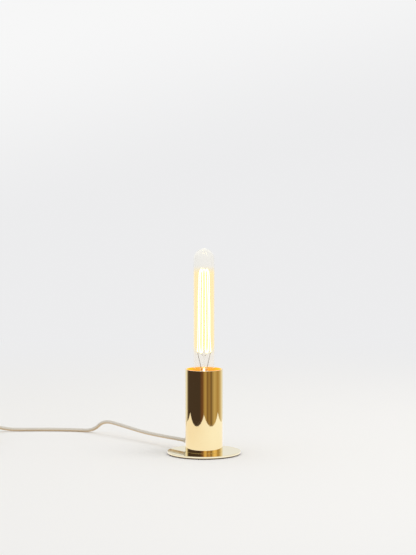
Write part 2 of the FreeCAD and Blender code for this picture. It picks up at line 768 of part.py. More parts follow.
def filament():
    low, high = Z_TIP + FILAMENT_LOW + FILAMENT_SHOULDER, Z_TIP + FILAMENT_HIGH - FILAMENT_SHOULDER
    points = [filament_point(0)]
    for step in range(STRANDS):
        middle = (filament_angle(step) + filament_angle(step + 1)) / 2
        knees = [around(FILAMENT_BODY_R, middle, low), around(FILAMENT_BODY_R, middle, high)]
        points += knees if step % 2 == 0 else knees[::-1]
        points.append(filament_point(step + 1))
    return bent_wire(points, FILAMENT_D)


def hook_compound():
    """The wires that hold the filament's turning points, set in the rod's button and bead."""
    hooks = []
    top_root = Z_TIP + FILAMENT_HIGH - FILAMENT_SHOULDER + BUTTON_H / 2
    low_root = Z_TIP + FILAMENT_LOW - BUTTON_H - BUTTON_H / 2
    for step in range(1, STRANDS):
        root = top_root if step % 2 else low_root
        end = filament_point(step)
        inner = around(BUTTON_D / 4, filament_angle(step), root)
        knee = around(math.hypot(end[0], end[1]) * 0.8, filament_angle(step), (root + end[2]) / 2)
        hooks.append(bent_wire([inner, knee, end], HOOK_D))
    return Part.makeCompound(hooks)


def lead_wire_pair():
    """Two wires up through the press: one from the bulb's tip, one from its brass shell."""
    press_low = Z_PRESS_TOP - PRESS_H
    wires = []
    for side in (-1, 1):
        end = filament_point(0 if side < 0 else STRANDS)
        knee = (side * LEAD_KNEE_R, 0, Z_PRESS_TOP + LEAD_KNEE_H)
        x = side * (EXHAUST_D / 2 + LEAD_D)
        if side < 0:
            tip_end = Z_TIP + TIP_H + TURN_GAP
            start = [(0, 0, tip_end), (0, 0, tip_end + 2 * TIP_H), (x, 0, tip_end + 4 * TIP_H)]
        else:
            shell_r = THREAD_MINOR_D / 2 - SHELL_WALL
            start = [(shell_r, 0, Z_NECK - 3 * LEAD_D), (x, 0, Z_NECK - 2 * LEAD_D)]
        rise = [(x, 0, press_low), (side * LEAD_SPREAD, 0, Z_PRESS_TOP)]
        wires.append(bent_wire(start + rise + [knee, end], LEAD_D, share=0.3))
    return wires


# ---------------------------------------------------------------- cord inside the lamp


def cord_bush():
    """The bush in the tube's wall: a threaded shank inside, and a flange and a tapering bend
    relief outside. The flange is hollowed to sit on the round tube."""
    seat_y = TUBE_BORE_R - BUSH_SHANK_IN
    flange_low = TUBE_R - BUSH_FLANGE_T
    shank = rod((0, seat_y, Z_CORD), (0, TUBE_R, Z_CORD), BUSH_SHANK_D)
    flange = rod((0, flange_low, Z_CORD), (0, TUBE_R + BUSH_FLANGE_T, Z_CORD), BUSH_FLANGE_D)
    flange = flange.cut(disc(TUBE_R, Z_DISC_TOP, Z_RIM))
    taper = cone(BUSH_SHANK_D + 1.0, BUSH_TIP_D, (0, TUBE_R, Z_CORD), (0, BUSH_END_Y, Z_CORD))
    solid = fused([shank, flange, taper])
    return solid.cut(rod((0, seat_y - 1, Z_CORD), (0, BUSH_END_Y + 1, Z_CORD), CORD_D + 2 * CORD_GAP))


def bush_nut():
    """The nut that draws the bush against the tube's wall."""
    corner = BUSH_NUT_AF / math.sqrt(3)
    face_y = math.sqrt(TUBE_BORE_R ** 2 - corner ** 2) - HOLE_GAP
    nut = hexagon(BUSH_NUT_AF, 0, BUSH_NUT_T).cut(disc(BUSH_SHANK_D / 2, 0, BUSH_NUT_T))
    nut.rotate(V(0, 0, 0), V(1, 0, 0), 90)
    nut.translate(V(0, face_y, Z_CORD))
    return nut


def cord_inner():
    points = [(0, BUSH_END_Y, Z_CORD), (0, 0, Z_CORD), (0, 0, Z_STEM_TOP + CORD_END)]
    return bent_wire(points, CORD_D, INNER_BEND_R)


# ---------------------------------------------------------------- free cord


def cord_lead():
    end = (SWITCH_X - SWITCH_NECK_L, SWITCH_Y, Z_SWITCH)
    return free_cord("cord_lead", [(0, BUSH_END_Y, Z_CORD)] + LEAD_ROUTE + [end])


def cord_mid():
    start = (SWITCH_X - SWITCH_L + SWITCH_NECK_L, SWITCH_Y, Z_SWITCH)
    return free_cord("cord_mid", [start] + MID_ROUTE + [(COIL_X, COIL_Y, CORD_R)])


def coil_radius(turn):
    """The coil's radius after a number of turns: in at a steady rate, and out again."""
    pitch, half = CORD_D + COIL_GAP, COIL_TURNS / 2
    inner = COIL_MIDDLE_D / 2 - pitch * half / 2
    return inner + pitch * math.hypot(turn - half, COIL_SOFTENING / (2 * math.pi))


def coil_point(turn):
    """A point of the coil, which climbs a layer in the half turn where it reverses."""
    angle = math.pi + 2 * math.pi * turn
    part = min(1.0, max(0.0, 2 * (turn - COIL_TURNS / 2) + 0.5))
    height = CORD_R + (Z_COIL_TOP - CORD_R) * part * part * (3 - 2 * part)
    outer, radius = coil_radius(0), coil_radius(turn)
    return V(COIL_X + outer + radius * math.cos(angle), COIL_Y - CORD_D + radius * math.sin(angle), height)


def coil_heading(turn):
    step = 1e-4
    if turn < step or turn > COIL_TURNS - step:
        return V(0, -1, 0)
    return (coil_point(turn + step) - coil_point(turn - step)).normalize()


def coil_gap():
    """The least gap between two turns of the coil, on 120 points a turn."""
    count = 120
    points = [coil_point(i / count) for i in range(COIL_TURNS * count + 1)]
    apart = count // 3
    least = min((a - b).Length for i, a in enumerate(points) for b in points[i + apart:])
    return least - CORD_D


def cord_coil():
    """The spare cord as one unbroken tube, with a straight end of one diameter at each side."""
    turns = [i / 4 for i in range(4 * COIL_TURNS + 1)]
    first, last = coil_point(0), coil_point(COIL_TURNS)
    edges = [Part.LineSegment(first + V(0, CORD_D, 0), first).toShape()]
    for a, b in zip(turns, turns[1:]):
        edges += biarc(coil_point(a), coil_heading(a), coil_point(b), coil_heading(b))
    edges.append(Part.LineSegment(last, last - V(0, CORD_D, 0)).toShape())
    path = Part.Wire(edges)
    solid = tube_along(path, CORD_D)
    inner = coil_radius(COIL_TURNS / 2)
    expected = math.pi * CORD_R ** 2 * path.Length
    print(f"cord_coil: {path.Length:.1f} mm long, {COIL_TURNS} turns, inner bend {inner:.1f} mm, "
          f"least gap {coil_gap():.2f} mm, volume {solid.Volume / expected:.4f} of section times length")
    return solid


def cord_tail():
    last = coil_point(COIL_TURNS) - V(0, CORD_D, 0)
    return free_cord("cord_tail", [tuple(last)] + TAIL_ROUTE + [(COIL_X, PLUG_Y, Z_PLUG)])


# ---------------------------------------------------------------- hand switch


def switch_outline(low, high, inset=0.0):
    """The switch's body between two heights: a rounded lozenge along X."""
    far, near = SWITCH_X - SWITCH_L + inset, SWITCH_X - inset
    half = SWITCH_W / 2 - inset
    body = block((far, near), (SWITCH_Y - half, SWITCH_Y + half), (low, high))
    return rounded(body, SWITCH_CORNER - inset, upright)


def switch_cavity(low, high):
    """The room inside the switch, between the necks that hold the cord at each end."""
    far, near = SWITCH_X - SWITCH_L + SWITCH_NECK_L, SWITCH_X - SWITCH_NECK_L
    half = SWITCH_W / 2 - SWITCH_WALL
    return block((far, near), (SWITCH_Y - half, SWITCH_Y + half), (low, high))


def cord_bore():
    start, end = (SWITCH_X + 1, SWITCH_Y, Z_SWITCH), (SWITCH_X - SWITCH_L - 1, SWITCH_Y, Z_SWITCH)
    return rod(start, end, CORD_D + 2 * CORD_GAP)


def switch_screw_places():
    return [SWITCH_MID_X + side * SWITCH_SCREW_X for side in (-1, 1)]


def screw_post_radius():
    return SWITCH_SCREW_D + SWITCH_POST_WALL


def screw_post_y():
    """The line of the screw posts, each half a wall into the switch's side."""
    return SWITCH_Y + SWITCH_W / 2 - SWITCH_WALL / 2 - screw_post_radius()


def switch_base():
    base = switch_outline(0, Z_SWITCH).cut(switch_cavity(SWITCH_WALL, Z_SWITCH))
    base = rounded(base, SWITCH_EDGE, lambda e: level(e, 0))
    for x in switch_screw_places():
        post = disc(screw_post_radius(), SWITCH_WALL / 2, Z_SWITCH, x, screw_post_y())
        hole = disc(SWITCH_SCREW_D / 2 + HOLE_GAP, 0, Z_SWITCH, x, screw_post_y())
        sink = disc(SWITCH_SCREW_D + HOLE_GAP, 0, SWITCH_WALL, x, screw_post_y())
        base = base.fuse(post).cut(hole).cut(sink).removeSplitter()
    return base.cut(cord_bore())


def switch_cover():
    cover = switch_outline(Z_SWITCH, SWITCH_H)
    cover = rounded(cover, SWITCH_EDGE, lambda e: level(e, SWITCH_H))
    cover = cover.cut(switch_cavity(Z_SWITCH, SWITCH_H - SWITCH_WALL))
    half_window = ROCKER_L / 2 + ROCKER_GAP
    window = block((SWITCH_MID_X - half_window, SWITCH_MID_X + half_window),
                   (SWITCH_Y - ROCKER_W / 2 - ROCKER_GAP, SWITCH_Y + ROCKER_W / 2 + ROCKER_GAP),
                   (Z_SWITCH, SWITCH_H + 1))
    ears = [block((SWITCH_MID_X - PIVOT_D, SWITCH_MID_X + PIVOT_D), side_of_rocker(side, PIVOT_L),
                  (pivot_height() - PIVOT_D, SWITCH_H - SWITCH_WALL)) for side in (-1, 1)]
    cover = fused([cover] + ears).cut(window).cut(rocker_pivots(PIVOT_D + 2 * PIVOT_GAP))
    for x in switch_screw_places():
        post = disc(screw_post_radius(), Z_SWITCH, SWITCH_H - SWITCH_WALL / 2, x, screw_post_y())
        hole = disc(SWITCH_SCREW_D / 2, Z_SWITCH, SWITCH_H - SWITCH_WALL, x, screw_post_y())
        cover = cover.fuse(post).cut(hole)
    return cover.removeSplitter().cut(cord_bore())


def pivot_height():
    return SWITCH_H - SWITCH_WALL - PIVOT_D / 2


def key_bottom():
    return pivot_height() - PIVOT_D / 2 - ROCKER_GAP


def side_of_rocker(side, depth):
    """The (low, high) in Y of a slab beside the rocker's window."""
    near = SWITCH_Y + side * (ROCKER_W / 2 + ROCKER_GAP)
    return sorted((near, near + side * depth))


def rocker_pivots(diameter):
    reach, height = ROCKER_W / 2 + PIVOT_L, pivot_height()
    return rod((SWITCH_MID_X, SWITCH_Y - reach, height), (SWITCH_MID_X, SWITCH_Y + reach, height), diameter)


def tilted(shape):
    """A piece of the rocker, turned about its pivots so that the end towards the lamp is down."""
    shape.rotate(V(SWITCH_MID_X, SWITCH_Y, pivot_height()), V(0, 1, 0), ROCKER_TILT_DEG)
    return shape


def switch_rocker():
    """A key with two slopes that meet in a shallow dip, on two stub pivots."""
    half, foot = ROCKER_L / 2 - 2 * ROCKER_GAP, BLADE_W
    top = SWITCH_H + ROCKER_RISE
    dip = half * math.tan(math.radians(ROCKER_TILT_DEG)) / 2
    shoulder = SWITCH_H - ROCKER_GAP
    outline = [(-half, top), (0, top - dip), (half, top), (half, shoulder), (foot, key_bottom()),
               (-foot, key_bottom()), (-half, shoulder)]
    places = [V(SWITCH_MID_X + x, SWITCH_Y - ROCKER_W / 2, z) for x, z in outline]
    key = Part.Face(Part.makePolygon(places + places[:1])).extrude(V(0, ROCKER_W, 0))
    return tilted(key.fuse(rocker_pivots(PIVOT_D)).removeSplitter())


def switch_blade():
    """The strip under the key that joins the two fixed contacts while the lamp is on."""
    length = (SWITCH_MID_X - BLADE_L / 2, SWITCH_MID_X + BLADE_L / 2)
    width = (SWITCH_Y - BLADE_W / 2, SWITCH_Y + BLADE_W / 2)
    return tilted(block(length, width, (key_bottom() - STRIP_T, key_bottom())))


def blade_underside(x):
    """The height of the tilted blade's underside over a place on the switch's length."""
    tilt = math.radians(ROCKER_TILT_DEG)
    below = pivot_height() - key_bottom() + STRIP_T
    return pivot_height() - below / math.cos(tilt) - (x - SWITCH_MID_X) * math.tan(tilt)


def switch_contacts():
    """Two fixed strips on the floor. One end of each meets a core, the other meets the blade,
    under its middle or under the end that the rocker presses down."""
    floor, strips = SWITCH_WALL, []
    for side, inner in ((-1, SWITCH_MID_X), (1, SWITCH_MID_X + BLADE_X)):
        outer = SWITCH_MID_X + side * STRIP_REACH
        y = (SWITCH_Y - STRIP_W, SWITCH_Y)
        inner_end = inner + side * STRIP_T
        from_middle = max(abs(inner - SWITCH_MID_X), abs(inner_end - SWITCH_MID_X))
        top = blade_underside(SWITCH_MID_X + from_middle) - CONTACT_GAP
        foot = block(sorted((inner, outer)), y, (floor, floor + STRIP_T))
        inner_tab = block(sorted((inner, inner_end)), y, (floor, top))
        outer_tab = block(sorted((outer, outer - side * STRIP_T)), y, (floor, Z_SWITCH + WIRE_D / 2))
        strips.append(fused([foot, inner_tab, outer_tab]))
    return Part.makeCompound(strips)


def switch_wires():
    """The cord's cores inside the switch: one runs through, the other is cut for the contacts."""
    apart = WIRE_D / 2 + HOLE_GAP / 2
    ends = [SWITCH_X - SWITCH_NECK_L, SWITCH_X - SWITCH_L + SWITCH_NECK_L]
    y = SWITCH_Y + apart
    wires = [rod((ends[0], y, Z_SWITCH), (ends[1], y, Z_SWITCH), WIRE_D)]
    y = SWITCH_Y - apart
    for end, side in zip(ends, (1, -1)):
        wires.append(rod((end, y, Z_SWITCH), (SWITCH_MID_X + side * STRIP_REACH, y, Z_SWITCH), WIRE_D))
    return Part.makeCompound(wires)


def switch_screws():
    length = SWITCH_H - 2 * SWITCH_WALL - SWITCH_WALL
    sizes = (length, SWITCH_SCREW_D, 2 * (SWITCH_SCREW_D - HOLE_GAP), SWITCH_WALL * 0.85)
    return Part.makeCompound([pan_screw(x, screw_post_y(), SWITCH_WALL, *sizes, down=False)
                              for x in switch_screw_places()])


# ---------------------------------------------------------------- plug


def plug_body():
    """A flat body, narrowed by chamfers at the cord's end, with its round bend relief."""
    back, front = PLUG_Y - PLUG_RELIEF_L, PLUG_Y - PLUG_RELIEF_L - PLUG_L
    half, nose = PLUG_W / 2, PLUG_CHAMFER
    outline = [(-half, front), (half, front), (half, back - 2 * nose), (half - nose, back),
               (-half + nose, back), (-half, back - 2 * nose)]
    places = [V(COIL_X + x, y, 0) for x, y in outline]
    body = Part.Face(Part.makePolygon(places + places[:1])).extrude(V(0, 0, PLUG_T))
    body = rounded(body, PLUG_EDGE, lambda e: level(e, 0) or level(e, PLUG_T))
    relief = cone(PLUG_RELIEF_D, PLUG_RELIEF_TIP_D, (COIL_X, back, Z_PLUG), (COIL_X, PLUG_Y, Z_PLUG))
    body = body.fuse(relief).removeSplitter()
    for x in pin_places():
        body = body.cut(rod((x, front - 1, Z_PLUG), (x, front + PIN_SINK, Z_PLUG), PIN_ROOT_D))
    return body


def pin_places():
    return (COIL_X - PIN_SPACING / 2, COIL_X + PIN_SPACING / 2)


def plug_pins():
    """Two round pins with a rounded end, each on a thinner root that the body is moulded round."""
    front = PLUG_Y - PLUG_RELIEF_L - PLUG_L
    pins = []
    for x in pin_places():
        pin = rod((x, front, Z_PLUG), (x, front - PIN_L, Z_PLUG), PIN_D)
        pin = rounded(pin, PIN_D / 4, lambda e: abs(e.BoundBox.YMax - front + PIN_L) < 1e-6)
        root = rod((x, front + PIN_SINK, Z_PLUG), (x, front - PIN_SINK / 2, Z_PLUG), PIN_ROOT_D)
        pins.append(pin.fuse(root).removeSplitter())
    return Part.makeCompound(pins)


# ---------------------------------------------------------------- every piece, by name

BULB_INSIDE = ("glass_stem", "glass_rod", "support_hooks", "lead_wires", "filament")

PIECES = {
    "felt_pad": felt_pad,
    "base_disc": base_disc,
    "base_screws": base_screws,
    "foot_plate": foot_plate,
    "body_tube": body_tube,
    "holder_bracket": holder_bracket,
    "bracket_screws": bracket_screws,
    "threaded_stem": threaded_stem,
    "stem_nut": stem_nut,
    "toothed_washer": toothed_washer,
    "holder_cap": holder_cap,
    "holder_skirt": holder_skirt,
    "holder_core": holder_core,
    "threaded_sleeve": threaded_sleeve,
    "centre_contact": centre_contact,
    "side_contact": side_contact,
    "terminal_screws": terminal_screws,
    "live_wire": lambda: supply_wire(LIVE_WIRE_X),
    "neutral_wire": lambda: supply_wire(NEUTRAL_WIRE_X),
    "cord_bush": cord_bush,
    "bush_nut": bush_nut,
    "tip_contact": tip_contact,
    "cap_insulator": cap_insulator,
    "cap_shell": cap_shell,
    "cap_cement": cap_cement,
    "glass_envelope": glass_envelope,
    "glass_stem": glass_stem,
    "glass_rod": glass_rod,
    "support_hooks": hook_compound,
    "lead_wires": lambda: Part.makeCompound(lead_wire_pair()),
    "filament": filament,
    "cord_inner": cord_inner,
    "cord_lead": cord_lead,
    "switch_base": switch_base,
    "switch_cover": switch_cover,
    "switch_rocker": switch_rocker,
    "switch_blade": switch_blade,
    "switch_contacts": switch_contacts,
    "switch_wires": switch_wires,
    "switch_screws": switch_screws,
    "cord_mid": cord_mid,
    "cord_coil": cord_coil,
    "cord_tail": cord_tail,
    "plug_body": plug_body,
    "plug_pins": plug_pins,
}

os.makedirs("parts", exist_ok=True)
for name, make in PIECES.items():
    shape = make()
    if name in BULB_INSIDE:
        shape = about_axis(shape, BULB_FACING_DEG)
    if not shape.isValid():
        print(f"{name} isn't a valid shape")
    shape.exportStep(f"parts/{name}.step")
    print(f"{name}: {len(shape.Solids)} solids, {shape.Volume:.1f} mm3")
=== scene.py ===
"""Bare bulb table lamp: a polished brass tube on a thin brass disc, with a long clear filament
bulb standing in it and a pale textile cord. One section for each piece, from the table upwards.
"""

import math

import bmesh
import bpy
from mathutils import Matrix, Vector


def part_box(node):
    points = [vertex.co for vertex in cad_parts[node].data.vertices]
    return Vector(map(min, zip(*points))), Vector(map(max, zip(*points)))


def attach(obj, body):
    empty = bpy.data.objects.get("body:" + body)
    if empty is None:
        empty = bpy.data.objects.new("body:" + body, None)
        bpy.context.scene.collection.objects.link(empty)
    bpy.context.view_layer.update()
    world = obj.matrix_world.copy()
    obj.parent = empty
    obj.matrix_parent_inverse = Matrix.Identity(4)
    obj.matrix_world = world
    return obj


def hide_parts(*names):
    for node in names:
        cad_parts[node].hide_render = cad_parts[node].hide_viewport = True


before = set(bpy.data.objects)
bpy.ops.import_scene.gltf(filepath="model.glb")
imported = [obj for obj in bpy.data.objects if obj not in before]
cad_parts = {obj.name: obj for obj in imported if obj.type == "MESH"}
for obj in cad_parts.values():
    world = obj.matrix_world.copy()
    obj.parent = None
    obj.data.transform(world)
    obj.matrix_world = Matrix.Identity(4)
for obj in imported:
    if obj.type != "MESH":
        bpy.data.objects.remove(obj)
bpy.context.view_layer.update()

# ---------------------------------------------------------------- camera
# A long lens, 0.48 m above the table and 2.8 m from the lamp. The lamp's own frame is turned 40
# degrees from the picture's, so that its cord runs away to the picture's far left.

CAMERA_PLACE = (-1.79981, -2.14492, 0.48)
CAMERA_PITCH = 4.592
CAMERA_HEADING = -40.117
CAMERA_LENS = 127.0
FACING = math.radians(-40.0)
PICTURE_RIGHT = (math.cos(FACING), math.sin(FACING), 0.0)
PICTURE_AWAY = (-math.sin(FACING), math.cos(FACING), 0.0)

camera = bpy.data.objects.new("camera", bpy.data.cameras.new("camera"))
camera.data.lens = CAMERA_LENS
camera.location = CAMERA_PLACE
camera.rotation_euler = (math.radians(90.0 - CAMERA_PITCH), 0.0, math.radians(CAMERA_HEADING))
bpy.context.scene.collection.objects.link(camera)
bpy.context.scene.camera = camera
bpy.context.scene.view_settings.view_transform = "Standard"

# ---------------------------------------------------------------- felt pad
# A thin disc of pressed dark wool felt, glued under the brass. Its fibres lie every way, and its
# cut edge shows as a dark line between the disc and the table.


class Value:
    """The output of a node, which adds and multiplies as a number does."""

    def __init__(self, graph, socket):
        self.graph, self.socket = graph, socket

    def maths(self, operation, *terms):
        return self.graph.node("ShaderNodeMath", {"operation": operation}, dict(enumerate(terms)))

    def __add__(self, other):
        return self.maths("ADD", self, other)

    def __sub__(self, other):
        return self.maths("SUBTRACT", self, other)

    def __rsub__(self, other):
        return self.maths("SUBTRACT", other, self)

    def __mul__(self, other):
        return self.maths("MULTIPLY", self, other)

    def __truediv__(self, other):
        return self.maths("DIVIDE", self, other)

    def __pow__(self, other):
        return self.maths("POWER", self, other)

    def __abs__(self):
        return self.maths("ABSOLUTE", self)

    def __lt__(self, other):
        return self.maths("LESS_THAN", self, other)

    def __gt__(self, other):
        return self.maths("GREATER_THAN", self, other)

    __radd__, __rmul__ = __add__, __mul__


class Graph:
    """A tree of nodes, with one method that adds a node and joins it up."""

    def __init__(self, tree):
        self.tree = tree

    def node(self, kind, settings=None, sockets=None, out=0):
        made = self.tree.nodes.new(kind)
        for name, setting in (settings or {}).items():
            if name == "stops":
                self.set_stops(made.color_ramp.elements, setting)
            else:
                setattr(made, name, setting)
        for name, value in (sockets or {}).items():
            self.feed(made.inputs[name], value)
        return Value(self, made.outputs[out])

    def feed(self, socket, value):
        if isinstance(value, Value):
            self.tree.links.new(value.socket, socket)
        elif socket.type == "RGBA":
            socket.default_value = (*value, 1.0)
        else:
            socket.default_value = value

    def set_stops(self, elements, stops):
        while len(elements) < len(stops):
            elements.new(0.5)
        for element, (position, colour) in zip(elements, stops):
            element.position = position
            element.color = (*colour, 1.0)

    def ramp(self, value, stops):
        return self.node("ShaderNodeValToRGB", {"stops": stops}, {0: value})

    def mixed(self, low, high, share):
        return self.node("ShaderNodeMix", {"data_type": "RGBA"}, {0: share, 6: low, 7: high}, out=2)

    def smooth(self, value, low, high):
        """0 below low and 1 above high, with a soft change between."""
        sockets = {"Value": value, "From Min": low, "From Max": high}
        return self.node("ShaderNodeMapRange", {"interpolation_type": "SMOOTHSTEP"}, sockets)

    def component(self, vector, axis):
        """The X, Y or Z of a vector."""
        return self.node("ShaderNodeSeparateXYZ", None, {"Vector": vector}, out=axis)

    def dot(self, vector, direction):
        """How far a vector reaches in a direction."""
        sockets = {0: vector, 1: direction}
        return self.node("ShaderNodeVectorMath", {"operation": "DOT_PRODUCT"}, sockets, out=1)


class Finish(Graph):
    """The material of one kind of surface."""

    def __init__(self, name):
        self.material = bpy.data.materials.new(name)
        self.material.use_nodes = True
        super().__init__(self.material.node_tree)
        self.shader = self.tree.nodes["Principled BSDF"]
        self.place = self.node("ShaderNodeTexCoord", out="Object")

    def noise(self, size, detail=3.0, stretch=(1.0, 1.0, 1.0)):
        """Soft spots of about a size in metres, from 0 to 1."""
        spot = self.node("ShaderNodeMapping", None, {"Vector": self.place, "Scale": stretch})
        sockets = {"Vector": spot, "Scale": 1.0 / size, "Detail": detail}
        return self.node("ShaderNodeTexNoise", None, sockets)

    def along(self, axis):
        return self.component(self.place, axis)

    def bump(self, height, depth):
        return self.node("ShaderNodeBump", None, {"Height": height, "Distance": depth})

    def surface(self, sockets):
        for name, value in sockets.items():
            self.feed(self.shader.inputs[name], value)
        return self


def dress(finish, *nodes):
    """Gives CAD pieces whose shape is right their finish."""
    for node in nodes:
        for material_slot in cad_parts[node].material_slots:
            material_slot.material = finish.material


def mesh_piece(name, mesh, sharp_angle=35.0):
    """A new piece that shades smoothly, except at edges sharper than the angle."""
    piece = bpy.data.objects.new(name, mesh)
    bpy.context.scene.collection.objects.link(piece)
    mesh.shade_smooth()
    mesh.set_sharp_from_angle(angle=math.radians(sharp_angle))
    weighted = piece.modifiers.new("flat faces stay flat", "WEIGHTED_NORMAL")
    weighted.keep_sharp = True
    return piece


def place(piece, body, slot, finish, *stands_for):
    """Fixes a finished piece to its body, with its material and the nodes it stands for. The slot is not
    used.
    """
    piece.data.materials.clear()
    piece.data.materials.append(finish.material)
    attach(piece, body)
    if stands_for:
        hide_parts(*stands_for)
    return piece


ON_THE_AXIS = 1e-7


def lathe(name, outline, steps, closed=False):
    """A piece turned about the lamp's axis from (radius, height) points. An outline that isn't
    closed starts and ends on the axis."""
    shell = bmesh.new()
    rings = []
    for radius, height in outline:
        if radius < ON_THE_AXIS:
            rings.append([shell.verts.new((0.0, 0.0, height))] * steps)
            continue
        ring = []
        for step in range(steps):
            angle = 2.0 * math.pi * step / steps
            ring.append(shell.verts.new((radius * math.cos(angle), radius * math.sin(angle), height)))
        rings.append(ring)
    pairs = list(zip(rings, rings[1:] + rings[:1] if closed else rings[1:]))
    for lower, upper in pairs:
        for step in range(steps):
            ahead = (step + 1) % steps
            corners = [lower[step], lower[ahead], upper[ahead], upper[step]]
            corners = sorted(set(corners), key=corners.index)
            if len(corners) > 2:
                shell.faces.new(corners)
    bmesh.ops.recalc_face_normals(shell, faces=shell.faces)
    mesh = bpy.data.meshes.new(name)
    shell.to_mesh(mesh)
    shell.free()
    return mesh_piece(name, mesh)


def rounded(outline, radius, steps=6):
    """The closed outline with each corner replaced by a small arc."""
    points = []
    count = len(outline)
    for index, (r, z) in enumerate(outline):
        corner = Vector((r, z))
        back = (Vector(outline[index - 1]) - corner).normalized()
        on = (Vector(outline[(index + 1) % count]) - corner).normalized()
        turn = math.pi - back.angle(on)
        reach = radius * math.tan(turn / 2.0)
        centre = corner + (back + on).normalized() * (radius / math.cos(turn / 2.0))
        start, end = corner + back * reach - centre, corner + on * reach - centre
        for step in range(steps + 1):
            part = step / steps
            weight = math.sin((1.0 - part) * turn), math.sin(part * turn)
            spoke = (start * weight[0] + end * weight[1]) / math.sin(turn)
            points.append(tuple(centre + spoke))
    return points


def plate_outline(low, high, ease, steps=6):
    """The outline of a round plate that fills a box, from axis to axis, with both rims eased."""
    corners = [(0.0, low.z), (high.x, low.z), (high.x, high.z), (0.0, high.z)]
    each = steps + 1
    rims = rounded(corners, ease, steps)[each:3 * each]
    return [(0.0, low.z)] + rims + [(0.0, high.z)]


FELT_SOFTNESS = 0.00025
FELT_SIDES = 160

felt = Finish("wool_felt")
fibres = felt.noise(0.0007, 8.0) * 0.6 + felt.noise(0.00025, 2.0) * 0.4
felt.surface({
    "Base Color": felt.mixed((0.030, 0.022, 0.016), (0.115, 0.085, 0.060), fibres),
    "Roughness": 0.95,
    "Sheen Weight": 0.5,
    "Sheen Roughness": 0.6,
    "Normal": felt.bump(fibres, 0.0002),
})
felt_round = lathe("felt_pad_soft_edge", plate_outline(*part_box("felt_pad"), FELT_SOFTNESS), FELT_SIDES)
place(felt_round, "lamp", "felt", felt, "felt_pad")

# ---------------------------------------------------------------- base disc
# A 3 mm plate of brass, turned, eased at its edges, polished to a mirror, with faint cloudy
# smears. Its lowest millimetre, just above the felt, is painted dark brown as a painted shadow line.

DISC_EASE = 0.0004
DISC_SIDES = 256
PAINTED_SHADE_RISE = (0.0004, 0.0011)
disc_low, disc_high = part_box("base_disc")

disc_brass = Finish("polished_disc_brass")
smear = disc_brass.noise(0.02, 4.0)
turned = disc_brass.noise(0.0004, 2.0)
# Dark brown painted along the bottom of the edge: a painted shadow line where the disc meets the felt.
clear_of_painted_shade = disc_brass.smooth(disc_brass.along("Z"), *[disc_low.z + rise for rise in PAINTED_SHADE_RISE])
gold = disc_brass.mixed((0.97, 0.89, 0.62), (0.965, 0.87, 0.58), smear)
disc_brass.surface({
    "Base Color": disc_brass.mixed((0.14, 0.075, 0.035), gold, clear_of_painted_shade),
    "Metallic": 1.0,
    "Roughness": 0.012 + smear * 0.012 + turned * 0.008,
})
disc_round = lathe("base_disc_polished", plate_outline(disc_low, disc_high, DISC_EASE), DISC_SIDES)
place(disc_round, "lamp", "brass", disc_brass, "base_disc")

# ---------------------------------------------------------------- foot plate, bracket and screws
# Zinc-plated steel: the plate brazed into the tube's foot, the bent strip that stands on it, and
# the stem, nut, toothed washer and screws that hold them together.

steel = Finish("zinc_plated_steel")
spangle = steel.noise(0.003, 4.0)
brushed = steel.noise(0.0003, 2.0, (1.0, 1.0, 0.05))
steel.surface({
    "Base Color": steel.mixed((0.50, 0.50, 0.49), (0.68, 0.68, 0.66), spangle),
    "Metallic": 1.0,
    "Roughness": 0.26 + spangle * 0.16 + brushed * 0.06,
    "Normal": steel.bump(brushed, 0.00002),
})
dress(steel, "foot_plate", "holder_bracket", "base_screws", "bracket_screws", "threaded_stem", "stem_nut",
      "toothed_washer", "terminal_screws", "bush_nut")

# ---------------------------------------------------------------- body tube
# Drawn brass tube, 2 mm in the wall, polished outside like the disc. Inside it is left as drawn,
# duller, and its mouth has a painted orange glow, an emission that stands in for the bulb's light.

TUBE_EASE = 0.0003
TUBE_WALL = 0.002
TUBE_SIDES = 256
MOUTH_GLOW_DEPTH = 0.045
tube_low, tube_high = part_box("body_tube")
tube_bore = tube_high.x - TUBE_WALL

brass = Finish("polished_brass")
smear = brass.noise(0.02, 4.0)
hairline = brass.noise(0.0004, 2.0, (1.0, 1.0, 0.02))
from_axis = (brass.along("X") ** 2.0 + brass.along("Y") ** 2.0) ** 0.5
inside = from_axis < tube_bore + TUBE_EASE
# Painted glow: orange emission on the inner wall near the rim, in place of the bulb's light caught in the
# mouth.
painted_mouth_glow = inside * brass.smooth(brass.along("Z"), tube_high.z - MOUTH_GLOW_DEPTH, tube_high.z - TUBE_EASE)
brass.surface({
    "Base Color": brass.mixed((0.95, 0.79, 0.44), (0.93, 0.76, 0.40), smear),
    "Metallic": 1.0,
    "Roughness": smear * 0.02 + hairline * 0.015 + inside * 0.14 + 0.015,
    "Emission Color": brass.mixed((0.0, 0.0, 0.0), (0.52, 0.20, 0.022), painted_mouth_glow),
    "Emission Strength": 1.0,
})
tube_outline = rounded([(tube_bore, tube_low.z), (tube_high.x, tube_low.z), (tube_high.x, tube_high.z),
                        (tube_bore, tube_high.z)], TUBE_EASE)
tube_round = lathe("body_tube_polished", tube_outline, TUBE_SIDES, closed=True)
place(tube_round, "lamp", "brass", brass, "body_tube")

# ---------------------------------------------------------------- bulb holder
# A cap and a skirt moulded in black phenolic plastic with a glossy skin, screwed together round a
# glazed ceramic core. The core carries the sprung contact, the terminals and the brass sleeve.

WELD_DISTANCE = 2e-6
FLAT_ANGLE = math.radians(0.5)
HOLDER_EASE = 0.0003


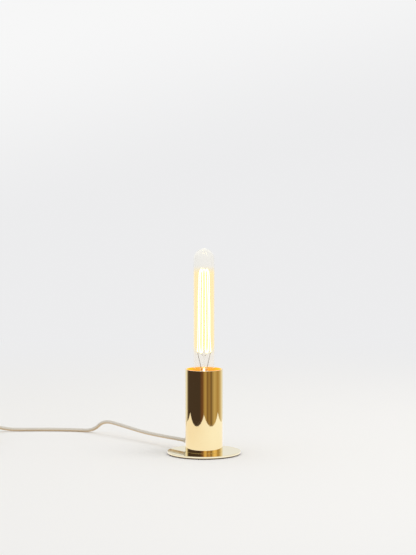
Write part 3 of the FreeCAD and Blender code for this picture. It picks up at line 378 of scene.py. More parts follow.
def softened(node, width, segments=3, angle=32.0):
    """A copy of a CAD piece with its sharp edges eased by a small round."""
    shell = bmesh.new()
    shell.from_mesh(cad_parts[node].data)
    bmesh.ops.remove_doubles(shell, verts=shell.verts, dist=WELD_DISTANCE)
    bmesh.ops.dissolve_limit(shell, angle_limit=FLAT_ANGLE, verts=shell.verts, edges=shell.edges)
    mesh = bpy.data.meshes.new(node + "_eased")
    shell.to_mesh(mesh)
    shell.free()
    piece = bpy.data.objects.new(node + "_eased", mesh)
    bpy.context.scene.collection.objects.link(piece)
    mesh.shade_smooth()
    ease = piece.modifiers.new("eased edges", "BEVEL")
    ease.width = width
    ease.segments = segments
    ease.limit_method = "ANGLE"
    ease.angle_limit = math.radians(angle)
    ease.harden_normals = True
    return piece


phenolic = Finish("black_phenolic")
flow = phenolic.noise(0.008, 3.0)
phenolic.surface({
    "Base Color": phenolic.mixed((0.010, 0.010, 0.011), (0.028, 0.026, 0.025), flow),
    "Roughness": 0.16 + flow * 0.14,
    "Coat Weight": 0.3,
    "Coat Roughness": 0.08,
    "Normal": phenolic.bump(phenolic.noise(0.0009, 2.0), 0.00001),
})
for node in ("holder_cap", "holder_skirt"):
    place(softened(node, HOLDER_EASE), "lamp", "holder_plastic", phenolic, node)

porcelain = Finish("glazed_porcelain")
speckle = porcelain.noise(0.0006, 2.0)
porcelain.surface({
    "Base Color": porcelain.mixed((0.80, 0.78, 0.72), (0.88, 0.87, 0.84), speckle),
    "Roughness": 0.12 + speckle * 0.12,
    "Coat Weight": 0.6,
    "Coat Roughness": 0.05,
    "Normal": porcelain.bump(porcelain.noise(0.002, 2.0), 0.00003),
})
dress(porcelain, "holder_core")

contact_brass = Finish("pressed_brass")
tarnish = contact_brass.noise(0.004, 5.0)
contact_brass.surface({
    "Base Color": contact_brass.mixed((0.86, 0.70, 0.38), (0.62, 0.43, 0.20), tarnish ** 3.0),
    "Metallic": 1.0,
    "Roughness": 0.22 + tarnish * 0.2,
})
dress(contact_brass, "threaded_sleeve", "centre_contact", "side_contact", "switch_contacts", "switch_blade")


def sleeving(name, pale, deep):
    """Soft plastic insulation with faint streaks from its extrusion."""
    sleeve = Finish(name)
    streak = sleeve.noise(0.0012, 3.0, (1.0, 1.0, 0.2))
    sleeve.surface({
        "Base Color": sleeve.mixed(deep, pale, streak),
        "Roughness": 0.38 + streak * 0.12,
        "Normal": sleeve.bump(streak, 0.00002),
    })
    return sleeve


live_sleeving = sleeving("brown_sleeving", (0.115, 0.045, 0.020), (0.080, 0.030, 0.013))
neutral_sleeving = sleeving("blue_sleeving", (0.028, 0.090, 0.270), (0.018, 0.062, 0.200))
dress(live_sleeving, "live_wire", "switch_wires")
dress(neutral_sleeving, "neutral_wire")

# ---------------------------------------------------------------- cord
# A round two-core cord in a pale woven cotton sleeve. It leaves the tube low at the back, springs
# out in a shallow arch, drops to the table and curves along it to a hand switch. Beyond the
# switch its spare length lies in a neat coil of two layers, and it ends in its plug.

CORD_DIAMETER = 0.0052
CORD_RADIUS = CORD_DIAMETER / 2.0
CORD_SIDES = 20
LEAD_ROUTE = [
    (0.0, 0.0435, 0.0140), (0.0, 0.0640, 0.0140), (0.0007, 0.0980, 0.0133), (-0.0004, 0.1410, 0.0139),
    (-0.0016, 0.1940, 0.0183), (-0.0041, 0.2340, 0.0213), (-0.0086, 0.2554, 0.0029),
    (-0.0231, 0.2827, 0.0026), (-0.0520, 0.3120, 0.0026), (-0.0840, 0.3375, 0.0026),
    (-0.1025, 0.3487, 0.0034), (-0.1240, 0.3580, 0.0095), (-0.1470, 0.3580, 0.0095),
]
MIDDLE_ROUTE = [
    (-0.1870, 0.3580, 0.0095), (-0.2130, 0.3580, 0.0095), (-0.2330, 0.3540, 0.0036),
    (-0.2470, 0.3415, 0.0026), (-0.2520, 0.3240, 0.0026), (-0.2520, 0.3030, 0.0026),
]
TAIL_ROUTE = [
    (-0.2520, 0.2926, 0.00845), (-0.2520, 0.2810, 0.00845), (-0.2520, 0.2700, 0.00685),
    (-0.2520, 0.2600, 0.00685),
]
COIL_TURNS = 6
COIL_STEP = 24
COIL_PITCH = 0.00585
COIL_MIDDLE = 0.0312
COIL_START = (-0.2520, 0.2978)
COIL_HEIGHTS = (0.0026, 0.00845)
COIL_SOFTENING = 0.0557
EXIT_HEIGHT = LEAD_ROUTE[0][2]


def coil_radius(turn):
    """The coil's radius: in at a steady rate for half of its turns, and out again."""
    half = COIL_TURNS / 2.0
    return COIL_MIDDLE - COIL_PITCH * half / 2.0 + COIL_PITCH * math.hypot(turn - half, COIL_SOFTENING)


def coil_point(turn):
    """A point of the coil, which climbs a layer in the half turn where it reverses."""
    angle = math.pi + 2.0 * math.pi * turn
    part = min(1.0, max(0.0, 2.0 * (turn - COIL_TURNS / 2.0) + 0.5))
    height = COIL_HEIGHTS[0] + (COIL_HEIGHTS[1] - COIL_HEIGHTS[0]) * part * part * (3.0 - 2.0 * part)
    x, y = COIL_START[0] + coil_radius(0), COIL_START[1]
    return (x + coil_radius(turn) * math.cos(angle), y + coil_radius(turn) * math.sin(angle), height)


def circle(graph, sides, radius):
    sockets = {"Resolution": sides, "Radius": radius}
    return graph.node("GeometryNodeCurvePrimitiveCircle", {"mode": "RADIUS"}, sockets)


def sweeping_tree():
    """Sweeps a round section along a curve. It stores the length along the curve and the way
    round the section on the surface, for a finish that follows them."""
    tree = bpy.data.node_groups.new("round_section_along_a_curve", "GeometryNodeTree")
    for name, kind in (("Curve", "NodeSocketGeometry"), ("Radius", "NodeSocketFloat"),
                       ("Sides", "NodeSocketInt"), ("Finish", "NodeSocketMaterial")):
        tree.interface.new_socket(name, in_out="INPUT", socket_type=kind)
    tree.interface.new_socket("Surface", in_out="OUTPUT", socket_type="NodeSocketGeometry")
    graph = Graph(tree)
    given = tree.nodes.new("NodeGroupInput")
    curve, radius, sides, finish = [Value(graph, given.outputs[name]) for name in (
        "Curve", "Radius", "Sides", "Finish")]
    line = graph.node("GeometryNodeResampleCurve", {"mode": "EVALUATED"}, {"Curve": curve})
    length = graph.node("GeometryNodeSplineParameter", out="Length")
    line = graph.node("GeometryNodeStoreNamedAttribute", {"data_type": "FLOAT", "domain": "POINT"},
                      {"Geometry": line, "Name": "along", "Value": length})
    ring = circle(graph, sides, radius)
    way_round = graph.node("ShaderNodeVectorMath", {"operation": "NORMALIZE"},
                           {0: graph.node("GeometryNodeInputPosition")})
    ring = graph.node("GeometryNodeStoreNamedAttribute", {"data_type": "FLOAT_VECTOR", "domain": "POINT"},
                      {"Geometry": ring, "Name": "round", "Value": way_round})
    tube = graph.node("GeometryNodeCurveToMesh", None,
                      {"Curve": line, "Profile Curve": ring, "Fill Caps": True})
    tube = graph.node("GeometryNodeRealizeInstances", None, {"Geometry": tube})
    tube = graph.node("GeometryNodeSetMaterial", None, {"Geometry": tube, "Material": finish})
    graph.feed(tree.nodes.new("NodeGroupOutput").inputs["Surface"], tube)
    return tree


sweeping = sweeping_tree()


def plain_mesh(piece):
    """What an object shows, its modifiers included, as a plain mesh."""
    bpy.context.view_layer.update()
    graph = bpy.context.evaluated_depsgraph_get()
    return bpy.data.meshes.new_from_object(piece.evaluated_get(graph), depsgraph=graph)


def grow(tree, carrier, name, inputs):
    """Runs a tree on an object and returns what it makes as a piece of its own."""
    modifier = carrier.modifiers.new(tree.name, "NODES")
    modifier.node_group = tree
    for item in tree.interface.items_tree:
        if item.in_out == "INPUT" and item.name in inputs:
            modifier[item.identifier] = inputs[item.name]
    mesh = plain_mesh(carrier)
    bpy.data.objects.remove(carrier)
    return mesh_piece(name, mesh)


def swept(name, points, radius, sides, finish, resolution):
    """A round rod or cord along one smooth curve, and the line at its middle."""
    curve = bpy.data.curves.new(name, "CURVE")
    curve.dimensions = "3D"
    curve.resolution_u = resolution
    spline = curve.splines.new("NURBS")
    spline.points.add(len(points) - 1)
    for point, position in zip(spline.points, points):
        point.co = (*position, 1.0)
    spline.order_u = 3
    spline.use_endpoint_u = True
    carrier = bpy.data.objects.new(name + "_line", curve)
    bpy.context.scene.collection.objects.link(carrier)
    line = [tuple(vertex.co) for vertex in plain_mesh(carrier).vertices]
    piece = grow(sweeping, carrier, name, {"Radius": radius, "Sides": sides, "Finish": finish.material})
    return piece, line


CARRIERS = 12
BRAID_PITCH = 0.0105
# Heights of the normal over which the tan underside, soiling and painted bounce light, gives way to cream.
SOILED_AND_BOUNCE_BELOW, CREAM_ABOVE = -0.6, 0.4

braid = Finish("braided_cotton")
along_cord = braid.node("ShaderNodeAttribute", {"attribute_name": "along"}, out="Fac")
round_cord = braid.node("ShaderNodeAttribute", {"attribute_name": "round"}, out="Vector")
cosine, sine = braid.component(round_cord, "X"), braid.component(round_cord, "Y")
way_round = sine.maths("ARCTAN2", sine, cosine) * (CARRIERS / (2.0 * math.pi))
way_along = along_cord * (CARRIERS / BRAID_PITCH)
right_laid, left_laid = way_along + way_round, way_along - way_round


def crown(strand):
    """The round back of one strand, 0 at its edges and 1 along its middle."""
    return 1.0 - abs(strand.maths("FRACT", strand) * 2.0 - 1.0) ** 2.0


parity = (right_laid.maths("FLOOR", right_laid) + left_laid.maths("FLOOR", left_laid)) * 0.5
over = parity.maths("FRACT", parity) > 0.25
strand_height = over * crown(right_laid) + (1.0 - over) * crown(left_laid)
yarn = braid.noise(0.0004, 4.0)
# Each strand is painted darker towards its edges, a painted shade in the grooves of the weave, mixed with
# random yarn tone; the same value drives the bump.
weave_and_painted_shade = strand_height * 0.65 + yarn * 0.35
# The side facing down is tinted tan: partly soiling and partly painted warm bounce light from the brass and
# table below.
upwards = braid.component(braid.node("ShaderNodeNewGeometry", out="Normal"), "Z")
cream = braid.mixed((0.52, 0.47, 0.39), (0.84, 0.80, 0.72), weave_and_painted_shade)
soiled_and_painted_bounce = braid.mixed((0.48, 0.34, 0.19), (0.80, 0.61, 0.38), weave_and_painted_shade)
braid.surface({
    "Base Color": braid.mixed(soiled_and_painted_bounce, cream, braid.smooth(upwards, SOILED_AND_BOUNCE_BELOW, CREAM_ABOVE)),
    "Roughness": 0.86,
    "Sheen Weight": 0.25,
    "Sheen Roughness": 0.5,
    "Normal": braid.bump(weave_and_painted_shade, 0.00018),
})

lead, lead_line = swept("cord_to_the_switch", LEAD_ROUTE, CORD_RADIUS, CORD_SIDES, braid, resolution=24)
place(lead, "lamp", "cord_braid", braid, "cord_lead")
coil_route = [coil_point(step / COIL_STEP) for step in range(COIL_TURNS * COIL_STEP + 1)]
rest_route = MIDDLE_ROUTE + coil_route + TAIL_ROUTE
rest, rest_line = swept("cord_coil_and_tail", rest_route, CORD_RADIUS, CORD_SIDES, braid, resolution=6)
place(rest, "lamp", "cord_braid", braid, "cord_mid", "cord_coil", "cord_tail")

# The stretch inside the tube bends up from the bush to the hollow stem.
INNER_BEND = 0.0205
INNER_STEPS = 8
STRAIGHT_BEFORE = INNER_BEND * 1.3
STRAIGHT_AFTER = 0.004
inner_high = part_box("cord_inner")[1]
inner_route = [(0.0, inner_high.y, EXIT_HEIGHT), (0.0, STRAIGHT_BEFORE, EXIT_HEIGHT)]
for step in range(INNER_STEPS + 1):
    angle = math.pi / 2.0 * step / INNER_STEPS
    rise = INNER_BEND * (1.0 - math.cos(angle))
    inner_route.append((0.0, INNER_BEND * (1.0 - math.sin(angle)), EXIT_HEIGHT + rise))
inner_route += [(0.0, 0.0, inner_high.z - STRAIGHT_AFTER), (0.0, 0.0, inner_high.z)]
inner_cord, _ = swept("cord_inside_the_tube", inner_route, CORD_RADIUS, CORD_SIDES, braid, resolution=8)
place(inner_cord, "lamp", "cord_braid", braid, "cord_inner")

# ---------------------------------------------------------------- cord bush
# A moulded bush in the tube's wall: a flange that sits on the round of the tube, and a tapering
# bend relief with shallow ribs. A nut inside the tube draws it tight.

ivory = Finish("ivory_plastic")
spark = ivory.noise(0.00035, 2.0)
cloud = ivory.noise(0.015, 3.0)
ivory.surface({
    "Base Color": ivory.mixed((0.66, 0.61, 0.52), (0.73, 0.69, 0.61), cloud),
    "Roughness": 0.36 + cloud * 0.10 + spark * 0.06,
    "Coat Weight": 0.08,
    "Normal": ivory.bump(spark, 0.000012),
})


RING_SIDES = 40
RIB_SIDES = 10


def ribs_tree():
    """Rings in a row down a tapering relief."""
    tree = bpy.data.node_groups.new("ribs_along_a_relief", "GeometryNodeTree")
    for name, kind in (("Carrier", "NodeSocketGeometry"), ("Count", "NodeSocketInt"),
                       ("Step", "NodeSocketVector"), ("First Radius", "NodeSocketFloat"),
                       ("Last Radius", "NodeSocketFloat"), ("Rib Radius", "NodeSocketFloat"),
                       ("Finish", "NodeSocketMaterial")):
        tree.interface.new_socket(name, in_out="INPUT", socket_type=kind)
    tree.interface.new_socket("Ribs", in_out="OUTPUT", socket_type="NodeSocketGeometry")
    graph = Graph(tree)
    given = tree.nodes.new("NodeGroupInput")
    count, step, first, last, rib, finish = [Value(graph, given.outputs[name]) for name in (
        "Count", "Step", "First Radius", "Last Radius", "Rib Radius", "Finish")]
    places = graph.node("GeometryNodeMeshLine", None, {"Count": count, "Offset": step})
    big, small = circle(graph, RING_SIDES, first), circle(graph, RIB_SIDES, rib)
    ring = graph.node("GeometryNodeCurveToMesh", None, {"Curve": big, "Profile Curve": small})
    part = graph.node("GeometryNodeInputIndex") / (count - 1)
    size = 1.0 + part * (last / first - 1.0)
    upright = graph.node("FunctionNodeAlignRotationToVector", {"axis": "Z"}, {"Vector": step})
    copies = graph.node("GeometryNodeInstanceOnPoints", None,
                        {"Points": places, "Instance": ring, "Rotation": upright, "Scale": size})
    copies = graph.node("GeometryNodeRealizeInstances", None, {"Geometry": copies})
    copies = graph.node("GeometryNodeSetMaterial", None, {"Geometry": copies, "Material": finish})
    graph.feed(tree.nodes.new("NodeGroupOutput").inputs["Ribs"], copies)
    return tree


ribbing = ribs_tree()


def ribs(name, start, end, count, first, last, rib, finish):
    """Ribs from one point to another, as a piece that rides with what they stand on."""
    start, end = Vector(start), Vector(end)
    carrier = bpy.data.objects.new(name + "_carrier", bpy.data.meshes.new(name))
    bpy.context.scene.collection.objects.link(carrier)
    piece = grow(ribbing, carrier, name, {
        "Count": count, "Step": (end - start) / (count - 1), "First Radius": first, "Last Radius": last,
        "Rib Radius": rib, "Finish": finish.material})
    piece.data.transform(Matrix.Translation(start))
    return place(piece, "lamp", "pale_plastic", finish)


BUSH_EASE = 0.00015
BUSH_RIBS = 7
BUSH_RIBS_FROM_END = (0.0130, 0.0012)
BUSH_RING_RADII = (0.00425, 0.00350)
BUSH_RIB_RADIUS = 0.00032
bush_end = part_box("cord_bush")[1].y
place(softened("cord_bush", BUSH_EASE, 2), "lamp", "pale_plastic", ivory, "cord_bush")
bush_ribs = [(0.0, bush_end - back, EXIT_HEIGHT) for back in BUSH_RIBS_FROM_END]
ribs("cord_bush_ribs", *bush_ribs, BUSH_RIBS, *BUSH_RING_RADII, BUSH_RIB_RADIUS, ivory)

# ---------------------------------------------------------------- hand switch
# Two moulded shells held together from below by two screws, with a rocker across the cord. One
# core of the cord runs straight through, and the other is made and broken by a brass blade.

SHELL_EASE = 0.00025
ROCKER_EASE = 0.0003
for node in ("switch_base", "switch_cover"):
    place(softened(node, SHELL_EASE), "lamp", "pale_plastic", ivory, node)
place(softened("switch_rocker", ROCKER_EASE), "rocker", "pale_plastic", ivory, "switch_rocker")
dress(steel, "switch_screws")

# ---------------------------------------------------------------- plug
# A flat moulded two-pin plug with chamfered shoulders, a ribbed bend relief and two round
# nickel-plated pins.

PLUG_EASE = 0.0003
PLUG_RIBS = 8
PLUG_RIBS_FROM_END = (0.0185, 0.0015)
PLUG_RING_RADII = (0.00465, 0.00335)
PLUG_RIB_RADIUS = 0.00040
plug_low, plug_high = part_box("plug_body")
plug_across, plug_height = (plug_low.x + plug_high.x) / 2.0, (plug_low.z + plug_high.z) / 2.0
place(softened("plug_body", PLUG_EASE), "lamp", "pale_plastic", ivory, "plug_body")
plug_ribs = [(plug_across, plug_high.y - back, plug_height) for back in PLUG_RIBS_FROM_END]
ribs("plug_relief_ribs", *plug_ribs, PLUG_RIBS, *PLUG_RING_RADII, PLUG_RIB_RADIUS, ivory)

nickel = Finish("nickel_plate")
rubbed = nickel.noise(0.0003, 3.0, (1.0, 0.03, 1.0))
nickel.surface({
    "Base Color": (0.74, 0.72, 0.68),
    "Metallic": 1.0,
    "Roughness": 0.12 + rubbed * 0.14,
})
dress(nickel, "plug_pins")

ON_THE_SWITCH = ["switch_base_eased", "switch_cover_eased", "switch_rocker_eased", "switch_blade",
                 "switch_contacts", "switch_wires", "switch_screws"]
ON_THE_PLUG = ["plug_body_eased", "plug_relief_ribs", "plug_pins"]

# What is put away behind the lamp isn't mirrored in its brass.
for name in ON_THE_SWITCH + ON_THE_PLUG + ["cord_coil_and_tail"]:
    bpy.data.objects[name].visible_glossy = False

# ---------------------------------------------------------------- bulb cap
# The bulb's screw cap, pressed and rolled from thin brass, with a soldered tip in black glass
# enamel below and the ring of cement that holds the bulb's neck.

cap_brass = Finish("rolled_cap_brass")
handled = cap_brass.noise(0.006, 4.0)
cap_brass.surface({
    "Base Color": cap_brass.mixed((0.88, 0.74, 0.44), (0.74, 0.58, 0.32), handled),
    "Metallic": 1.0,
    "Roughness": 0.18 + handled * 0.18,
})
dress(cap_brass, "cap_shell")

solder = Finish("solder_tip")
solder.surface({
    "Base Color": solder.mixed((0.46, 0.46, 0.47), (0.62, 0.62, 0.62), solder.noise(0.0015)),
    "Metallic": 1.0,
    "Roughness": 0.36,
    "Normal": solder.bump(solder.noise(0.002, 2.0), 0.00008),
})
dress(solder, "tip_contact")

enamel = Finish("black_glass_enamel")
bubbles = enamel.noise(0.001, 3.0)
enamel.surface({
    "Base Color": enamel.mixed((0.012, 0.010, 0.014), (0.045, 0.035, 0.050), bubbles),
    "Roughness": 0.06 + bubbles * 0.08,
    "Coat Weight": 0.5,
})
dress(enamel, "cap_insulator")

cement = Finish("lamp_cement")
grain = cement.noise(0.0005, 6.0)
cement.surface({
    "Base Color": cement.mixed((0.48, 0.41, 0.30), (0.72, 0.65, 0.52), grain),
    "Roughness": 0.92,
    "Normal": cement.bump(grain, 0.0002),
})
dress(cement, "cap_cement")

# ---------------------------------------------------------------- glass of the bulb
# A long thin-walled tube of clear glass, drawn in to its neck and closed by a round crown. It has a
# painted warm glow from the lowest hooks to the top of the loops and a painted highlight at its tip.

GLASS_WALL = 0.0009
NECK_RADIUS = 0.012
SHOULDER = 0.009
CAP_OVERLAP = 0.006
GLASS_SIDES = 128
TIP_HIGHLIGHT_SPOT = (0.0015, 0.0045)
glass_low, glass_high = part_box("glass_envelope")
glow_foot = [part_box("filament")[0].z + rise for rise in (-0.006, 0.012)]
glow_top = [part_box("filament")[1].z + rise for rise in (-0.004, 0.010)]


def envelope_side(inset, steps=16):
    """The glass's side from the neck's foot up to the crown, inset by part of its wall."""
    body, neck = glass_high.x - inset, NECK_RADIUS - inset
    foot = glass_low.z + CAP_OVERLAP
    side = [(neck, glass_low.z)]
    for step in range(steps + 1):
        part = step / steps
        side.append((neck + (body - neck) * part * part * (3.0 - 2.0 * part), foot + SHOULDER * part))
    crown_centre = glass_high.z - glass_high.x
    angles = [math.pi / 2.0 * step / steps for step in range(steps)]
    side += [(body * math.cos(a), crown_centre + body * math.sin(a)) for a in angles]
    return side + [(0.0, crown_centre + body)]


glass = Finish("lit_clear_glass")
height = glass.along("Z")
from_axis = (glass.along("X") ** 2.0 + glass.along("Y") ** 2.0) ** 0.5
# Painted light: a warm emission and amber tint over the filament's height, a fainter emission above it, and
# a bright painted highlight at the crown's tip.
above = glass.smooth(height, *glow_top)
painted_glow = glass.smooth(height, *glow_foot) * (1.0 - above)
painted_tip_highlight = (1.0 - glass.smooth(from_axis, *TIP_HIGHLIGHT_SPOT)) * above
painted_stray_light = glass.mixed((0.30, 0.18, 0.02), (0.27, 0.24, 0.12), above)
painted_stray_light = glass.mixed(painted_stray_light, (1.6, 1.45, 1.0), painted_tip_highlight)
glass.surface({
    "Base Color": glass.mixed((0.985, 0.98, 0.965), (0.99, 0.95, 0.74), painted_glow),
    "Roughness": 0.0,
    "IOR": 1.45,
    "Transmission Weight": 1.0,
    "Emission Color": glass.mixed(painted_stray_light, (0.98, 0.50, 0.12), painted_glow),
    "Emission Strength": 0.06,
})
glass_outline = envelope_side(0.0) + envelope_side(GLASS_WALL)[::-1]
envelope = lathe("glass_envelope_clear", glass_outline, GLASS_SIDES, closed=True)
place(envelope, "bulb", "clear_glass", glass, "glass_envelope")
envelope.visible_shadow = False
envelope.visible_diffuse = False

# ---------------------------------------------------------------- glass stem and rod
# The foot that closes the bulb: a flare, a tube and the flattened press where the wires are
# sealed in, with a solid glass rod standing in it, which carries the hooks of the filament.

stem_glass = Finish("pressed_glass")
seed = stem_glass.noise(0.002, 3.0)
height = stem_glass.along("Z")
press_foot = [tube_high.z + rise for rise in (-0.005, -0.002)]
press_top = [tube_high.z + rise for rise in (-0.0005, 0.002)]
# The press is given a painted glow: a warm white emission near its top, in place of filament light caught
# in the glass.
painted_press_glow = stem_glass.smooth(height, *press_foot) * (1.0 - stem_glass.smooth(height, *press_top))
stem_glass.surface({
    "Base Color": (0.97, 0.975, 0.965),
    "Roughness": 0.02,
    "IOR": 1.5,
    "Transmission Weight": 1.0,
    "Emission Color": stem_glass.mixed((0.0, 0.0, 0.0), (1.0, 0.94, 0.84), painted_press_glow),
    "Emission Strength": 0.8,
    "Normal": stem_glass.bump(seed, 0.00012),
})
dress(stem_glass, "glass_stem", "glass_rod")
for node in ("glass_stem", "glass_rod"):
    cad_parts[node].visible_shadow = False

# ---------------------------------------------------------------- hooks and lead wires
# Molybdenum hooks set in the rod's button and bead, and two stiff nickel wires that bring the
# current up from the cap. All have the grey bloom of wire that has been hot.

wire = Finish("heated_nickel_wire")
bloom = wire.noise(0.0012, 3.0)
wire.surface({
    "Base Color": wire.mixed((0.26, 0.24, 0.22), (0.48, 0.45, 0.42), bloom),
    "Metallic": 1.0,
    "Roughness": 0.34 + bloom * 0.2,
})
dress(wire, "support_hooks", "lead_wires")

# ---------------------------------------------------------------- filament
# One long fine coil of tungsten wire, run up and down six times round the half of the rod that
# faces the room. It hangs a little loose between its hooks and burns white with a warm edge.

STRANDS = 6
LEAD_RADIUS, LOW_RADIUS, TOP_RADIUS = 0.0094, 0.0080, 0.0048
STRAND_RADIUS = (0.0091, 0.0074)
STRAND_DROP = (0.010, 0.006)
FILAMENT_RADIUS = 0.0004
FILAMENT_SIDES = 10
HALF_TURN = 0.0016
SWAY = 0.00025
SWAY_PER_SPAN, SWAY_PER_STRAND = 2.1, 1.7
STRAND_SPANS = 6
LEAD_COVER, HOOK_COVER = 0.0004, 0.0003
filament_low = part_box("lead_wires")[1].z - LEAD_COVER
filament_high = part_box("support_hooks")[1].z - HOOK_COVER


def around(radius, angle, height):
    turned = angle + FACING
    return (radius * math.cos(turned), radius * math.sin(turned), height)


def strand_angle(step):
    return math.pi * (1.0 + step / STRANDS)


def turn_over(step):
    """Two points side by side at a hook, so that the wire turns level there."""
    radius, height = (TOP_RADIUS, filament_high) if step % 2 else (LOW_RADIUS, filament_low)
    lean = HALF_TURN / radius
    return [around(radius, strand_angle(step) + side * lean, height) for side in (-1, 1)]


def strand(step):
    """The points of one straight run, from its foot up, with a slight sway."""
    angle = strand_angle(step + 0.5)
    low, high = filament_low + STRAND_DROP[0], filament_high - STRAND_DROP[1]
    points = []
    for span in range(STRAND_SPANS + 1):
        part = span / STRAND_SPANS
        sway = SWAY * math.sin(SWAY_PER_SPAN * span + SWAY_PER_STRAND * step)
        radius = STRAND_RADIUS[0] + (STRAND_RADIUS[1] - STRAND_RADIUS[0]) * part
        points.append(around(radius + sway, angle + sway / radius, low + (high - low) * part))
    return points


filament_route = [around(LEAD_RADIUS, strand_angle(0), filament_low)]
for step in range(STRANDS):
    filament_route += strand(step) if step % 2 == 0 else strand(step)[::-1]
    if step + 1 < STRANDS:
        filament_route += turn_over(step + 1)
filament_route.append(around(LEAD_RADIUS, strand_angle(STRANDS), filament_low))

glowing = Finish("white_hot_tungsten")
hot = glowing.noise(0.01, 2.0)
glowing.surface({
    "Base Color": (0.20, 0.18, 0.16),
    "Roughness": 0.5,
    "Emission Color": glowing.mixed((1.0, 0.78, 0.30), (1.0, 0.86, 0.38), hot),
    "Emission Strength": 6.5,
})
filament, _ = swept("filament_coil", filament_route, FILAMENT_RADIUS, FILAMENT_SIDES, glowing, resolution=6)
place(filament, "bulb", "filament", glowing, "filament")

# ---------------------------------------------------------------- table, room and light
# Not part of the lamp. A plain pale table that fades into a pale wall, even soft light from a
# white room with one broad soft lamp to the right, and for the polished brass alone a bright
# square round the lamp and the dark and golden sides of the room.

ROOM_COLOUR = (0.842, 0.842, 0.850)
TABLE_COLOUR = (0.89, 0.88, 0.86)
TABLE_SIZE = 12.0
FADE_NEAR, FADE_FAR = 0.45, 1.5
TABLE_LEVEL = -1e-4
SQUARE_REACH = 0.438
SQUARE_SHIFT = 0.0125
SQUARE_FADE = 0.3
SKY_STRENGTH = 0.86
UPPER_WALL = (0.93, 0.93, 0.93)
CEILING_COLOUR = (0.80, 0.79, 0.77)
CEILING_EDGE = (0.28, 0.60)
WALL_LEAN = 0.25
WALL_EDGE = (-0.03, 0.07)
WINDOW_GAIN = 0.55
WINDOW_SILL = (0.0, 0.05)
WINDOW_SIDE = (-0.35, 0.05)
WINDOW_BACK = (-0.1, 0.1)

table = Finish("pale_table")
table.tree.nodes.remove(table.shader)


def mirror_ray(graph):
    """1 for what polished metal mirrors, and 0 for what is seen plainly or through glass."""
    glossy = graph.node("ShaderNodeLightPath", out="Is Glossy Ray")
    return glossy * (1.0 - graph.node("ShaderNodeLightPath", out="Is Transmission Ray"))


across, away = table.dot(table.place, PICTURE_RIGHT), table.dot(table.place, PICTURE_AWAY)
faded = table.smooth((across ** 2.0 + away ** 2.0) ** 0.5, FADE_NEAR, FADE_FAR)
lit = table.node("ShaderNodeBsdfDiffuse", None, {"Color": TABLE_COLOUR})
wall = table.node("ShaderNodeEmission", None, {"Color": ROOM_COLOUR})
seen = table.node("ShaderNodeMixShader", None, {0: faded, 1: lit, 2: wall})
on_the_square = (abs(across) + abs(away - SQUARE_SHIFT)) < SQUARE_REACH
square_colours = [(0.0, (0.98, 0.93, 0.94)), (1.0, (1.05, 1.08, 1.20))]
square_light = table.ramp(table.smooth(across, -SQUARE_FADE, SQUARE_FADE), square_colours)
square = table.node("ShaderNodeEmission", None, {"Color": square_light})
through = table.node("ShaderNodeBsdfTransparent")
mirrored = table.node("ShaderNodeMixShader", None, {0: on_the_square, 1: through, 2: square})
whole = table.node("ShaderNodeMixShader", None, {0: mirror_ray(table), 1: seen, 2: mirrored})
table.feed(table.tree.nodes["Material Output"].inputs["Surface"], whole)

half = TABLE_SIZE / 2.0
table_mesh = bpy.data.meshes.new("table_top")
table_square = ((-half, -half), (half, -half), (half, half), (-half, half))
table_corners = [(x, y, TABLE_LEVEL) for x, y in table_square]
table_mesh.from_pydata(table_corners, [], [(0, 1, 2, 3)])
table_top = bpy.data.objects.new("table_top", table_mesh)
table_mesh.materials.append(table.material)
bpy.context.scene.collection.objects.link(table_top)

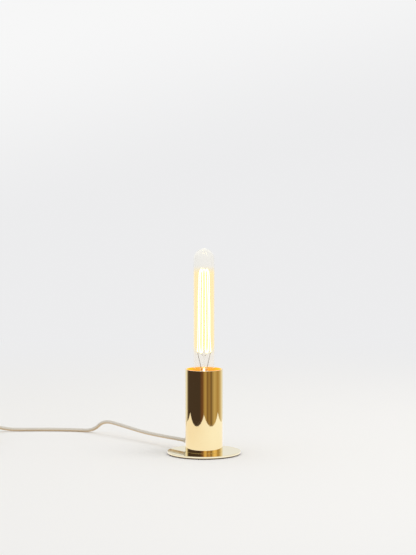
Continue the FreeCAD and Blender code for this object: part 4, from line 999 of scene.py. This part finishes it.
# What the brass mirrors, by the compass: degrees counter-clockwise from the picture's right.
ROOM_SIDES = [
    (0, (0.42, 0.28, 0.11)), (8, (0.43, 0.29, 0.115)), (28, (0.62, 0.50, 0.30)),
    (45, (0.84, 0.80, 0.74)), (60, (0.84, 0.84, 0.84)), (138, (0.84, 0.84, 0.84)),
    (150, (0.24, 0.20, 0.17)), (158, (0.062, 0.044, 0.037)), (244, (0.060, 0.042, 0.035)),
    (252, (0.120, 0.058, 0.032)), (263, (0.17, 0.080, 0.034)),
    (270, (0.36, 0.24, 0.095)), (277, (0.49, 0.34, 0.13)), (284, (0.40, 0.27, 0.105)),
    (291, (0.200, 0.112, 0.046)), (301, (0.35, 0.23, 0.088)), (308, (0.29, 0.18, 0.072)),
    (315, (0.160, 0.100, 0.045)), (325, (0.39, 0.28, 0.130)), (337, (0.57, 0.43, 0.205)),
    (350, (0.50, 0.36, 0.155)), (360, (0.42, 0.28, 0.11)),
]

world = bpy.data.worlds.new("white_room")
world.use_nodes = True
bpy.context.scene.world = world
room = Graph(world.node_tree)
facing = room.node("ShaderNodeTexCoord", out="Generated")
to_right, to_back = room.dot(facing, PICTURE_RIGHT), room.dot(facing, PICTURE_AWAY)
compass = to_back.maths("ARCTAN2", to_back, to_right) / (2.0 * math.pi)
compass = compass + (compass < 0.0)
sides = room.ramp(compass, [(degrees / 360.0, colour) for degrees, colour in ROOM_SIDES])
diffuse = room.node("ShaderNodeLightPath", out="Is Diffuse Ray")
upwards = room.component(facing, "Z")
before = room.smooth(to_right, *WINDOW_SIDE) * (1.0 - room.smooth(to_back, *WINDOW_BACK))
window_light = room.smooth(upwards, *WINDOW_SILL) * before * WINDOW_GAIN + 1.0
sides = room.node("ShaderNodeVectorMath", {"operation": "SCALE"}, {0: sides, "Scale": window_light})
sides = room.mixed(sides, CEILING_COLOUR, room.smooth(upwards, *CEILING_EDGE))
wall = room.mixed(ROOM_COLOUR, UPPER_WALL, room.smooth(upwards - to_right * WALL_LEAN, *WALL_EDGE))
shown = room.mixed(room.mixed(wall, (SKY_STRENGTH,) * 3, diffuse), sides, mirror_ray(room))
room.feed(world.node_tree.nodes["Background"].inputs["Color"], shown)

KEY_PLACE = (1.6, -0.4, 2.2)
KEY_SIZE = 1.6
KEY_POWER = 15.0
key_light = bpy.data.lights.new("broad_lamp", "AREA")
key_light.size = KEY_SIZE
key_light.energy = KEY_POWER
key = bpy.data.objects.new("broad_lamp", key_light)
key.location = Vector(PICTURE_RIGHT) * KEY_PLACE[0] + Vector(PICTURE_AWAY) * KEY_PLACE[1]
key.location.z = KEY_PLACE[2]
key.rotation_euler = key.location.to_track_quat("Z", "Y").to_euler()
key.visible_glossy = False
key.visible_transmission = False
bpy.context.scene.collection.objects.link(key)
